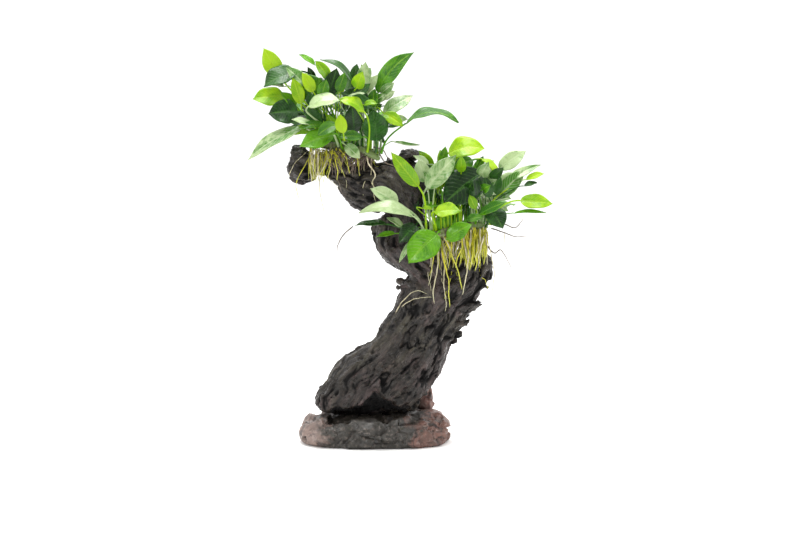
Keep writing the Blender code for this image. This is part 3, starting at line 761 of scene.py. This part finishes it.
# %% Tube and blade
BLADE_CELLS = (40, 12)
BLADE_THICK = 0.5      # mm
QUILT = 0.12           # mm that the blade rises between its side veins
RIB_SINK = 0.35        # mm that the midrib lies below the blade
STALK_SIDES = 7


def new_growth():
    """An empty bmesh that can store where on a leaf or root each point is."""
    bm = bmesh.new()
    for key in ("along", "across", "under", "age", "tint"):
        bm.verts.layers.float.new(key)
    return bm


def in_order(parts):
    """Points or faces of a bmesh in the order of their numbers, so that every run is the same."""
    return sorted(parts, key=lambda part: part.index)


def blade_outline(u, peak=0.8):
    """Share of the half width at share u of the length: widest before the middle, a drawn-out tip."""
    if u <= 0.0 or u >= 1.0:
        return 0.0
    return math.sin(math.pi * u**peak) ** (0.66 + 0.42 * u**4)


def tube(bm, line, radii, sides, finish_number=0, flat=1.0):
    """Roll a grid into a closed tube along a line of points in mm; radii of 0 close its ends."""
    last = len(line) - 1
    made = bmesh.ops.create_grid(bm, x_segments=last, y_segments=sides, size=1.0)["verts"]
    age = bm.verts.layers.float["age"]
    side = (line[1] - line[0]).orthogonal().normalized()
    frames = []
    for k, p in enumerate(line):
        ahead = (line[min(k + 1, last)] - line[max(k - 1, 0)]).normalized()
        side = (side - ahead * side.dot(ahead)).normalized()
        frames.append((p, side, ahead.cross(side)))
    for v in made:
        k = round((v.co.x + 1.0) / 2.0 * last)
        angle = math.pi * v.co.y
        p, across, up = frames[k]
        v.co = (p + (across * math.cos(angle) + up * (math.sin(angle) * flat)) * radii[k]) * MM
        v[age] = k / last
    for face in {f for v in made for f in v.link_faces}:
        face.material_index = finish_number
    bmesh.ops.remove_doubles(bm, verts=made, dist=0.00002)


def blade(bm, base, tip, bend, face, half, fold, wave, seed, peak, cells):
    """Lay a grid on the leaf's curved surface and give it thickness; returns its midrib line (mm)."""
    reach = tip - base
    along, across, under = (bm.verts.layers.float[key] for key in ("along", "across", "under"))
    old = set(bm.verts)
    flat = bmesh.ops.create_grid(bm, x_segments=cells[0], y_segments=cells[1], size=1.0)["verts"]
    left, right = seed % 7.0, (seed * 1.7) % 7.0

    def at(u):
        here = base + reach * u + bend * (4 * u * (1 - u))
        ahead = (reach + bend * (4 * (1 - 2 * u))).normalized()
        side = ahead.cross(face).normalized()
        return here, side, side.cross(ahead)

    def spot(u, w, depth):
        here, side, lift = at(u)
        wide = half * blade_outline(u, peak)
        out = abs(w)
        phase = left if w < 0 else right
        rise = fold * wide * out**1.3
        rise += wave * half * out**2.2 * math.sin(2 * math.pi * (1.7 * u + phase)) * ease(u, 0.0, 0.25)
        between = math.cos(2 * math.pi * (VEINS * u - VEIN_SWEEP * out**1.25))
        rise += QUILT * between * (1 - out) * ease(out, 0.1, 0.4)
        rise -= RIB_SINK * math.exp(-((w * wide / 0.8) ** 2)) * (1 - u)
        return (here + side * (w * wide) + lift * (rise - depth)) * MM

    for v in flat:
        u, w = (v.co.x + 1.0) / 2.0, v.co.y
        v[along], v[across] = u, (w + 1.0) / 2.0
        v.co = spot(u, w, 0.0)
    bmesh.ops.remove_doubles(bm, verts=flat, dist=0.00001)
    sheet = set(bm.verts) - old
    bm.faces.index_update()
    faces = in_order({f for v in sheet for f in v.link_faces})
    bmesh.ops.recalc_face_normals(bm, faces=faces)
    bmesh.ops.solidify(bm, geom=faces, thickness=BLADE_THICK * MM)
    for v in set(bm.verts) - old - sheet:
        v[under] = 1.0
        v.co = spot(v[along], v[across] * 2.0 - 1.0, BLADE_THICK)
    line = []
    for k in range(9):
        here, side, lift = at(k / 9.0)
        line.append(here - lift * (0.45 + 0.15 * (k == 0)))
    return line


def leaf(bm, stalk, form, wave, seed, thick, peak=0.8, cells=BLADE_CELLS):
    """A whole leaf: stalk points (mm) from the stem to the blade, then the blade of the given form."""
    standing = set(bm.verts)
    rib = blade(bm, *form, wave, seed, peak, cells)
    line = smooth_line(stalk, 4)
    count = len(line)
    radii = [thick * (1.75 - 0.8 * ease(k / count, 0.0, 0.45)) for k in range(count)]
    line = line[:-1] + rib
    radii = radii[:-1] + [thick * (0.85 - 0.078 * k) for k in range(len(rib))]
    radii[0] = 0.0
    line.append(rib[-1] + (rib[-1] - rib[-2]) * 0.3)
    radii.append(0.0)
    tube(bm, line, radii, STALK_SIDES, 1)
    tint = bm.verts.layers.float["tint"]
    for v in set(bm.verts) - standing:
        v[tint] = (seed * 7.31) % 1.0


def blade_skin(bm):
    """The blades alone, without their stalks, to test what cuts through what."""
    points = [v.co for v in bm.verts]
    bm.verts.index_update()
    faces = [[v.index for v in face.verts] for face in bm.faces if face.material_index == 0]
    return BVHTree.FromPolygons(points, faces)


def seal(bm):
    """Turn every face outwards and write the UV map from the stored places."""
    bmesh.ops.recalc_face_normals(bm, faces=bm.faces)
    along, across = bm.verts.layers.float["along"], bm.verts.layers.float["across"]
    plan = bm.loops.layers.uv.new("UVMap")
    for face in bm.faces:
        for corner in face.loops:
            corner[plan].uv = (corner.vert[along], corner.vert[across])


print("leaf helpers ready")

# %% Read a CAD leaf
STALK_RINGS = 5
WIDEST = 0.43          # share of a CAD blade's length at its widest ring
SHEATH = 2.4           # mm that the stalk starts inside the stem


def rings_of(name):
    """The cross-sections of a CAD leaf, from the stem to the tip, as lists of points in mm."""
    bm = merged_copy(name)
    bm.verts.index_update()
    for start in bm.verts:
        seen, level, levels = {start}, [start], []
        while level:
            levels.append(level)
            level = in_order({e.other_vert(v) for v in level for e in v.link_edges} - seen)
            seen.update(level)
        if len(levels) > 2 and all(len(row) == 4 for row in levels[1:]):
            break
    found = [[v.co / MM for v in row] for row in reversed(levels)]
    bm.free()
    return found


def centre(ring):
    """The middle of a list of points."""
    return sum(ring, Vector()) / len(ring)


def cad_leaf(name):
    """A CAD leaf's stalk points and its form: base, tip, arch, facing, half width and fold."""
    rings = rings_of(name)
    tip = rings[-1][0]
    ring = rings[STALK_RINGS + 3]
    pair = max(((a, b) for a in ring for b in ring), key=lambda ab: (ab[0] - ab[1]).length)
    rest = [p for p in ring if p not in pair]
    middle = (rest[0] + rest[1]) / 2
    base = centre(rings[STALK_RINGS])
    side = (pair[1] - pair[0]).normalized()
    reach = tip - base
    face = side.cross(reach).normalized()
    bend = (middle - base - reach * WIDEST) / (4 * WIDEST * (1 - WIDEST))
    ahead = (reach + bend * (4 * (1 - 2 * WIDEST))).normalized()
    face = side.cross(ahead).normalized()
    if face.dot(Vector((0.0, -0.35, 1.0))) < 0:
        face = -face
    half = (pair[1] - pair[0]).length / 2
    fold = ((pair[0] + pair[1]) / 2 - middle).dot(face) / half
    stalk = [centre(ring) for ring in rings[:STALK_RINGS]] + [base]
    sheath = stalk[0] + (stalk[0] - stalk[1]).normalized() * SHEATH
    return [sheath] + stalk, (base, tip, bend, face, half, fold)


leaf_names = sorted(name for name in nodes if "_leaf_" in name)
print(len(leaf_names), "leaves in the frame")

# %% Grow the leaves
BIG_STALK = 0.95       # mm, half the thickness of a big leaf's stalk
rng = random.Random(11)
leaf_skins = []
for name in leaf_names:
    stalk, form = cad_leaf(name)
    bm = new_growth()
    wave = rng.uniform(0.05, 0.11)
    leaf(bm, stalk, form, wave, rng.uniform(1.0, 6.0), BIG_STALK)
    seal(bm)
    leaf_skins.append(blade_skin(bm))
    slot = slot_of[name]
    put(name + "_grown", bm, [BLADES[slot], STALKS[slot]], [name])
print("grew", len(leaf_names), "leaves")

# %% [markdown]
# ## Creeping stems
# Each plant grows from a rhizome: a thick green-brown stem that creeps over the wood, with a ring scar
# wherever an old leaf sat. A curve with a bevel would be as round, but its radius couldn't change ring by
# ring. So it is a rolled grid whose radius swells and shrinks from scar to scar.

# %% Stems
PLANTS = ("upper", "lower")
STEM_SIDES = 16
STEM_RADIUS = 4.1      # mm
STEM_STEPS = 22        # steps between two stem points
SCAR_SPACING = 3.4     # mm


def stem_line(name):
    """The middle line of a CAD stem: the middles of its slices across X, in mm."""
    low, high = (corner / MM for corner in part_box(name))
    points = [v.co / MM for v in nodes[name].data.vertices]
    line = []
    for k in range(5):
        x = low.x + 2.0 + (high.x - low.x - 4.0) * k / 4
        near = sorted(points, key=lambda p: abs(p.x - x))[:16]
        line.append(sum(near, Vector()) / len(near))
    return line


def grow_stem(name, finish):
    """A knotty stem along the middle line of its CAD node."""
    line = smooth_line(stem_line(name), STEM_STEPS)
    radii = []
    run = 0.0
    for k, p in enumerate(line):
        run += (p - line[k - 1]).length if k else 0.0
        share = k / (len(line) - 1)
        end = math.sin(math.pi * share) ** 0.3 if 0 < k < len(line) - 1 else 0.0
        scar = abs(math.sin(math.pi * run / SCAR_SPACING)) ** 0.5
        radii.append(end * (STEM_RADIUS + 0.7 * scar + 0.5 * noise.noise(p / 6.0)))
    bm = new_growth()
    tube(bm, line, radii, STEM_SIDES)
    bm.normal_update()
    for v in bm.verts:
        p = v.co / MM
        v.co += v.normal * (0.5 * noise.noise(p / 3.0) + 0.25 * noise.noise(p / 1.2)) * MM
    seal(bm)
    put(name + "_grown", bm, [finish], [name])


stem_finish = streaky_finish(
    "creeping_stem", (0.06, 0.05, 0.02), (0.14, 0.19, 0.045), (0.12, 0.20, 0.04), 0.4, 420.0)
stems = {}
for plant in PLANTS:
    grow_stem(plant + "_rhizome", stem_finish)
    stems[plant] = smooth_line(stem_line(plant + "_rhizome"), 10)
    print(plant, "stem starts at", [round(c) for c in stems[plant][0]], "mm")

# %% [markdown]
# ## Small leaves
# Between the big leaves stand many small ones, some still narrow and folded. They are grown by the same
# helpers, and all of one tone and plant are kept as one piece. The table gives those that show.

# %% Small leaves that show
# plant, tone, share along the stem, base, tip, width, facing, arch, fold
SMALL = (
    ("upper", "pale", 0.05, (-89, -8, 357), (-108, -10, 360), 9, (0.0, -0.6, 0.8), 2, 0.2),
    ("upper", "young", 0.85, (-10, -25, 340), (3, -27, 341), 8, (0.0, -0.6, 0.8), 2, 0.2),
    ("upper", "pale", 0.75, (-11, -4, 353), (-9, -2, 381), 14, (-0.2, -0.95, 0.1), 1, 0.3),
    ("upper", "young", 0.45, (-30, -40, 313), (-33, -42, 332), 12, (-0.2, -0.95, 0.1), 2, 0.25),
    ("upper", "mid", 0.80, (-12, -33, 309), (-36, -37, 309), 12, (0.0, -0.75, 0.65), 2, 0.15),
    ("upper", "pale", 0.50, (-28, -31, 301), (-14, -33, 288), 12, (0.1, -0.9, 0.3), 1, 0.2),
    ("upper", "mid", 0.15, (-50, -27, 321), (-75, -30, 317), 10, (0.0, -0.7, 0.7), 2, 0.2),
    ("upper", "young", 0.10, (-72, -14, 340), (-80, -17, 366), 13, (0.2, -0.9, 0.2), 1, 0.2),
    ("upper", "young", 0.30, (-46, -6, 367), (-58, -8, 382), 11, (0.1, -0.8, 0.4), 1, 0.2),
    ("upper", "mid", 0.25, (-59, 2, 378), (-75, 3, 388), 8, (0.0, -0.5, 0.85), 1, 0.25),
    ("upper", "pale", 0.98, (20, -13, 303), (45, -14, 300), 6, (0.0, -0.4, 0.9), -2, 0.6),
    ("upper", "pale", 0.12, (-68, -10, 358), (-87, -8, 376), 15, (-0.1, -0.6, 0.8), 1, 0.15),
    ("upper", "young", 0.20, (-60, -13, 352), (-71, -15, 371), 12, (0.1, -0.9, 0.3), 1, 0.2),
    ("upper", "mid", 0.35, (-52, -15, 346), (-47, -16, 364), 12, (-0.1, -0.9, 0.3), 1, 0.2),
    ("upper", "mid", 0.50, (-36, -9, 352), (-29, -11, 371), 11, (0.2, -0.9, 0.3), 1, 0.2),
    ("upper", "young", 0.95, (9, -12, 331), (28, -14, 318), 13, (0.1, -0.8, 0.5), 2, 0.15),
    ("upper", "mid", 0.85, (-2, -10, 336), (0, -12, 355), 11, (-0.3, -0.9, 0.2), 1, 0.2),
    ("upper", "dark", 0.70, (-22, -13, 345), (-4, -15, 360), 13, (0.0, -0.8, 0.5), 1, 0.15),
    ("upper", "pale", 0.60, (-27, -16, 346), (-8, -18, 351), 6, (0.0, -0.5, 0.8), 1, 0.2),
    ("upper", "dark", 0.80, (-3, -21, 337), (-22, -23, 349), 13, (0.1, -0.8, 0.5), 1, 0.15),
    ("upper", "dark", 0.65, (-20, -13, 311), (-22, -16, 340), 18, (0.1, -0.95, 0.2), 1, 0.1),
    ("upper", "dark", 0.20, (-54, -13, 319), (-67, -15, 336), 15, (0.0, -0.9, 0.3), 1, 0.1),
    ("upper", "young", 0.40, (-37, -25, 314), (-46, -27, 331), 9, (0.2, -0.9, 0.3), 1, 0.2),
    ("upper", "pale", 0.08, (-60, -26, 321), (-81, -28, 326), 9, (0.0, -0.6, 0.8), 1, 0.15),
    ("upper", "mid", 0.02, (-77, -12, 338), (-92, -14, 352), 11, (0.0, -0.7, 0.7), 1, 0.15),
    ("upper", "dark", 0.30, (-58, -8, 336), (-64, -10, 354), 14, (0.0, -0.9, 0.3), 1, 0.1),
    ("lower", "pale", 0.10, (50, -22, 264), (43, -18, 286), 16, (-0.1, -0.8, 0.5), 1, 0.15),
    ("lower", "pale", 0.15, (53, -13, 281), (38, -11, 289), 8, (0.0, -0.6, 0.8), 1, 0.2),
    ("lower", "mid", 0.30, (66, -7, 281), (70, -7, 298), 9, (0.2, -0.9, 0.3), 1, 0.2),
    ("lower", "pale", 0.02, (28, -33, 221), (12, -34, 230), 10, (0.0, -0.5, 0.85), 1, 0.2),
    ("lower", "mid", 0.00, (20, -36, 215), (2, -38, 212), 7, (0.0, -0.6, 0.8), 1, 0.3),
    ("lower", "dark", 0.05, (41, -35, 223), (24, -41, 206), 18, (-0.1, -0.9, 0.4), 2, 0.1),
    ("lower", "pale", 0.05, (38, -43, 210), (24, -45, 187), 6, (-0.5, -0.8, 0.2), 1, 0.3),
    ("lower", "young", 0.15, (47, -39, 240), (57, -42, 239), 5, (0.0, -0.6, 0.8), 1, 0.3),
    ("lower", "dark", 0.85, (113, -17, 248), (109, -18, 269), 12, (0.0, -0.95, 0.2), 1, 0.1),
    ("lower", "pale", 0.95, (133, 0, 264), (165, 0, 279), 11, (0.0, -0.7, 0.7), 2, 0.2),
    ("lower", "young", 0.97, (150, -5, 265), (168, -7, 271), 9, (0.0, -0.6, 0.8), 1, 0.2),
    ("lower", "mid", 1.00, (138, -17, 233), (170, -19, 233), 6, (0.0, -0.5, 0.85), 1, 0.5),
    ("lower", "dark", 0.10, (38, -17, 232), (34, -13, 263), 14, (0.0, -0.95, 0.2), 1, 0.1),
    ("lower", "dark", 0.30, (58, -12, 228), (56, -10, 258), 18, (0.0, -0.95, 0.2), 1, 0.1),
    ("lower", "dark", 0.90, (118, -6, 248), (123, -4, 272), 12, (0.0, -0.9, 0.3), 1, 0.1),
    ("lower", "young", 0.75, (99, -27, 238), (93, -28, 252), 9, (0.0, -0.9, 0.3), 1, 0.2),
    ("lower", "mid", 0.60, (90, -35, 228), (106, -37, 231), 10, (0.0, -0.7, 0.7), 1, 0.2),
    ("lower", "dark", 0.98, (148, -8, 259), (161, -9, 262), 7, (0.0, -0.6, 0.8), 1, 0.2),
    ("lower", "mid", 0.45, (74, -18, 226), (76, -16, 252), 16, (0.1, -0.95, 0.2), 1, 0.1),
)
TONES = ("young", "mid", "dark", "pale")
beds = {(plant, tone): new_growth() for plant in stems for tone in TONES}
UP = Vector((0.0, 0.0, 1.0))
SMALL_WAVE = 0.07      # how wavy the margin is, as a share of the half width


def small_leaf(bm, plant, share, base, tip, width, face, arch, fold, seed, peak, cells=BLADE_CELLS):
    """A small leaf with a stalk that rises from its stem."""
    base, tip, face = Vector(base), Vector(tip), Vector(face)
    stem = stems[plant]
    start = stem[round(share * (len(stem) - 1))]
    reach = tip - base
    face = (face - reach * (face.dot(reach) / reach.length_squared)).normalized()
    far = (base - start).length
    first = start + UP * (far * 0.3) + (base - start) * 0.12
    last = base - reach.normalized() * min(far * 0.2, 9.0) - face * 1.0
    form = (base, tip, face * arch, face, width / 2, fold)
    leaf(bm, [start, first, last, base], form, SMALL_WAVE, seed, 0.45 + 0.018 * width, peak, cells)


for plant, tone, *row in SMALL:
    seed = rng.uniform(1.0, 6.0)
    small_leaf(beds[plant, tone], plant, *row, seed, rng.uniform(0.72, 0.9))
print(len(SMALL), "small leaves that show")

# %% [markdown]
# A clump is so dense that no one could place the leaves at its heart and back one by one. They are sown at
# random instead. Leaves that cut through each other would look wrong, so a new one is kept only if its
# blade crosses no other blade and not the wood.

# %% Sow the rest
# plant, middle of the clump, its half sizes, number of tries
CLUMPS = (("upper", (-34, 6, 332), (54, 36, 44), 420), ("lower", (86, 4, 252), (50, 36, 34), 420))
MOST_SOWN = 75
SOWN_CELLS = (22, 8)
BELOW_STEM = 2.0       # mm that a blade may start below its stem
LEFT_TONES = ("mid", "young", "dark", "young", "mid")
MIDDLE_TONES = ("mid", "dark", "mid", "young", "dark")
RIGHT_TONES = ("pale", "pale", "dark", "mid", "pale")


def sow(plant, middle, spread, tries):
    """Add small leaves where there is room: each blade is tested against all the standing ones."""
    middle, spread = Vector(middle), Vector(spread)
    stem = stems[plant]
    sown = 0
    for _ in range(tries):
        way = Vector((rng.uniform(-1, 1), rng.uniform(-0.6, 1.0), rng.uniform(-0.7, 1.0)))
        if way.length < 0.3 or sown >= MOST_SOWN:
            continue
        way.normalize()
        depth = rng.uniform(0.3, 0.9)
        base = middle + Vector((way.x * spread.x, way.y * spread.y, way.z * spread.z)) * depth
        size = rng.uniform(13.0, 25.0)
        tip = base + (way + UP * 0.25).normalized() * size
        out = Vector((way.x * 0.6, -1.0 if way.y < 0.1 else way.y, 0.0))
        face = (UP * rng.uniform(0.3, 0.9) + out.normalized()).normalized()
        if abs(face.dot((tip - base).normalized())) > 0.85:
            face = Vector((0.0, -1.0, 0.2))
        share = min(max((base.x - stem[0].x) / (stem[-1].x - stem[0].x), 0.05), 0.95)
        tone = rng.choice(LEFT_TONES if way.x < -0.2 else RIGHT_TONES if way.x > 0.35 else MIDDLE_TONES)
        trial = new_growth()
        seed, width = rng.uniform(1.0, 6.0), size * rng.uniform(0.45, 0.62)
        arch, fold = rng.uniform(1, 3), rng.uniform(0.1, 0.3)
        small_leaf(trial, plant, share, base, tip, width, face, arch, fold, seed, 0.8, SOWN_CELLS)
        skin = blade_skin(trial)
        blocked = any(skin.overlap(other) for other in leaf_skins)
        if not blocked and base.z > stem[0].z - BELOW_STEM and not skin.overlap(wood_skin):
            mesh = bpy.data.meshes.new("sown")
            trial.to_mesh(mesh)
            beds[plant, tone].from_mesh(mesh)
            bpy.data.meshes.remove(mesh)
            leaf_skins.append(skin)
            sown += 1
        trial.free()
    return sown


leaf_skins += [blade_skin(bed) for bed in beds.values()]
for row in CLUMPS:
    print(row[0], "clump: sowed", sow(*row), "more leaves")
for (plant, tone), bm in beds.items():
    seal(bm)
    slot = "leaf_" + tone
    stands_for = [plant + "_young_leaves"] if tone == "young" else []
    piece = put(plant + "_small_" + tone, bm, [BLADES[slot], STALKS[slot]], stands_for)
    print(piece.name, len(piece.data.polygons), "faces")

# %% [markdown]
# ## Roots
# Roots hang from the stems in yellow-green tufts, and single ones reach far down over the wood or hang
# free. Old ones are brown and thin. Hair curves would be lighter, but they don't survive an export as a
# mesh. Each root is a rolled grid along a smooth line that tapers to its tip.

# %% Roots that show
# colour, thickness, points
ROOTS = (
    ("pale", 0.55, ((-52, -14, 296), (-55, -26, 289), (-54, -29, 264), (-51, -29, 243), (-48, -28, 226))),
    ("yellow", 0.5, ((-62, -14, 292), (-70, -23, 277), (-77, -25, 262), (-74, -25, 246))),
    ("pale", 0.35, ((-66, -10, 294), (-79, -20, 281), (-85, -22, 268), (-88, -22, 260))),
    ("yellow", 0.6, ((-40, -16, 291), (-38, -25, 284), (-36, -26, 275), (-37, -25, 266))),
    ("yellow", 0.5, ((-28, -18, 290), (-26, -26, 281), (-24, -26, 272))),
    ("pale", 0.7, ((-8, -18, 290), (-5, -26, 281), (1, -27, 272), (-2, -27, 265), (0, -26, 258))),
    ("dark", 0.75, ((-2, -16, 298), (6, -18, 296), (12, -18, 290), (14, -16, 284))),
    ("dark", 0.75, ((4, -18, 293), (10, -22, 284), (20, -24, 279))),
    ("yellow", 1.0, ((68, -28, 213), (72, -32, 202), (77, -33, 190), (82, -33, 178), (86, -33, 158))),
    ("yellow", 0.85, ((88, -22, 214), (86, -30, 202), (81, -33, 188), (80, -33, 180))),
    ("pale", 0.8, ((96, -22, 213), (93, -30, 192), (90, -32, 172), (86, -33, 152))),
    ("pale", 0.75, ((60, -28, 210), (63, -32, 192), (61, -33, 174), (58, -33, 158), (59, -33, 144))),
    ("yellow", 0.8, ((64, -29, 210), (68, -33, 188), (72, -33, 172), (73, -33, 156), (74, -33, 140))),
    ("pale", 0.6, ((54, -29, 208), (55, -31, 190), (56, -32, 176), (53, -32, 162))),
    ("yellow", 0.5, ((58, -29, 208), (57, -32, 186), (54, -32, 172))),
    ("pale", 0.5, ((66, -28, 210), (69, -32, 186), (68, -33, 166), (70, -33, 148), (70, -33, 136))),
    ("pale", 0.5, ((20, -12, 131), (28, -24, 146), (40, -29, 157), (52, -30, 154))),
    ("pale", 0.4, ((26, -22, 139), (36, -28, 148), (46, -30, 150), (57, -31, 151))),
    ("dark", 0.8, ((112, -9, 220), (129, -14, 221), (140, -15, 218), (148, -15, 228))),
    ("dark", 0.75, ((114, -9, 217), (128, -14, 213), (141, -15, 209), (156, -15, 210))),
    ("dark", 0.75, ((108, -9, 204), (118, -15, 193), (125, -16, 196), (131, -16, 186), (137, -16, 175))),
    ("pale", 0.45, ((128, -14, 213), (129, -15, 206), (129, -15, 199))),
    ("pale", 0.5, ((112, -16, 206), (118, -23, 176), (116, -23, 150), (114, -22, 126), (113, -21, 104))),
    ("dark", 0.75, ((-20, -39, 223), (-30, -38, 214), (-36, -37, 204), (-37, -36, 192))),
    ("yellow", 0.9, ((37, -30, 216), (46, -37, 210), (58, -36, 211), (66, -30, 214))),
)
ROOT_TONES = {
    # name, two tones, tip, roughness, scale of the bands
    "yellow": ("yellow_root", (0.24, 0.24, 0.006), (0.64, 0.58, 0.02), (0.52, 0.56, 0.05), 0.4, 300.0),
    "pale": ("pale_root", (0.26, 0.22, 0.12), (0.58, 0.52, 0.34), (0.60, 0.58, 0.36), 0.45, 300.0),
    "dark": ("old_root", (0.035, 0.025, 0.018), (0.13, 0.095, 0.065), (0.18, 0.13, 0.10), 0.5, 300.0),
}
root_kinds = {kind: streaky_finish(*row) for kind, row in ROOT_TONES.items()}
mats = {(plant, kind): new_growth() for plant in stems for kind in root_kinds}
ROOT_SIDES = 6


def root(plant, kind, thick, points, steps):
    """One root, wandering a little and tapering to its tip."""
    line = smooth_line(points, steps)
    last = len(line) - 1
    line = [p + sway(p / 7.0) * (0.9 * min(k, 4) / 4) for k, p in enumerate(line)]
    radii = [thick * (1.0 - 0.6 * (k / last) ** 1.5) for k in range(last + 1)]
    radii[0] = radii[-1] = 0.0
    tube(mats[plant, kind], line, radii, ROOT_SIDES)


def plant_of(point):
    """The plant that a root belongs to, by the height it starts from."""
    x, _, z = point
    return "upper" if z > 240 or (x < 0 and z > 222) else "lower"


for kind, thick, points in ROOTS:
    root(plant_of(points[0]), kind, thick, points, 5)
print(len(ROOTS), "roots that show")

# %% Tufts
# plant, number, from (low, high), to (low, high), thickness (low, high), colours to draw from
TUFTS = (
    ("upper", 46, ((-64, -18, 292), (-40, -10, 299)), ((-74, -27, 261), (-54, -17, 278)), (0.3, 0.7),
     ("yellow", "yellow", "pale")),
    ("upper", 36, ((-50, -18, 291), (-6, -12, 297)), ((-54, -27, 268), (-6, -22, 284)), (0.3, 0.7),
     ("yellow", "dark", "dark")),
    ("lower", 170, ((84, -24, 209), (112, -2, 220)), ((86, -26, 181), (116, -8, 200)), (0.5, 1.25),
     ("yellow", "yellow", "yellow", "yellow", "pale")),
    ("lower", 40, ((84, -26, 208), (110, -18, 216)), ((80, -32, 176), (106, -27, 190)), (0.5, 1.0),
     ("yellow", "yellow", "pale")),
    ("lower", 30, ((52, -32, 206), (88, -24, 213)), ((50, -34, 176), (92, -29, 200)), (0.3, 0.6),
     ("yellow", "pale")),
    ("lower", 70, ((60, -26, 206), (90, -16, 214)), ((62, -22, 184), (90, -6, 192)), (0.5, 1.1),
     ("yellow", "dark", "dark", "pale")),
    ("upper", 22, ((-60, 2, 288), (0, 10, 294)), ((-66, 12, 262), (4, 22, 284)), (0.3, 0.6),
     ("yellow", "dark")),
    ("upper", 90, ((-58, -15, 291), (4, -6, 297)), ((-60, -17, 276), (4, 0, 283)), (0.5, 1.1),
     ("dark", "dark", "yellow")),
    ("lower", 40, ((84, 0, 208), (114, 8, 216)), ((84, 8, 182), (118, 24, 196)), (0.3, 0.7),
     ("yellow", "pale")),
)


def drawn(low, high):
    """A random point of a box."""
    return Vector(rng.uniform(a, b) for a, b in zip(low, high))


for plant, count, starts, ends, thick, kinds in TUFTS:
    for _ in range(count):
        a, b = drawn(*starts), drawn(*ends)
        b.x += (a.x - b.x) * 0.6
        swing = Vector((rng.uniform(-2, 2), rng.uniform(-3, 1) if a.y < 0 else rng.uniform(-1, 3), 2.0))
        middle = a.lerp(b, rng.uniform(0.35, 0.6)) + swing
        root(plant, rng.choice(kinds), rng.uniform(*thick), (a, middle, b), 6)
print(sum(row[1] for row in TUFTS), "fine roots in tufts")

# %% [markdown]
# At the sides and the back, roots creep over the wood. A random walk would leave the surface, so each of
# its steps is pulled to the nearest place on the wood's skin.

# %% Creeping roots
CREEPERS = (("upper", 12, 7), ("lower", 16, 9))   # plant, number, steps
CREEP_STEP = 7.0       # mm


def creep(plant, steps):
    """A root that leaves the stem and crawls down over the wood."""
    p = stems[plant][rng.randrange(3, len(stems[plant]) - 3)].copy()
    heading = Vector((rng.uniform(-0.5, 0.5), rng.choice((-1.0, 1.0, 1.0)), -0.4)).normalized()
    points = [p.copy()]
    for _ in range(steps):
        heading = (heading + Vector((rng.uniform(-0.5, 0.5), 0.0, -0.5))).normalized()
        spot, normal, _, _ = wood_skin.find_nearest((p + heading * CREEP_STEP) * MM)
        p = spot / MM + normal * 0.5
        points.append(p.copy())
    root(plant, rng.choice(("dark", "yellow", "pale")), rng.uniform(0.35, 0.6), points, 5)


for plant, count, steps in CREEPERS:
    for _ in range(count):
        creep(plant, steps)
OWN_ROOTS = {
    ("upper", "yellow"): ["upper_root_bundle"],
    ("upper", "pale"): ["upper_long_root"],
    ("lower", "yellow"): ["lower_root_bundle", "lower_long_root_1", "lower_long_root_2"],
    ("lower", "pale"): ["lower_long_root_3"],
}
for (plant, kind), bm in mats.items():
    seal(bm)
    own = OWN_ROOTS.get((plant, kind), [])
    piece = put(plant + "_" + kind + "_roots", bm, [root_kinds[kind]], own)
    print(piece.name, len(piece.data.polygons), "faces")
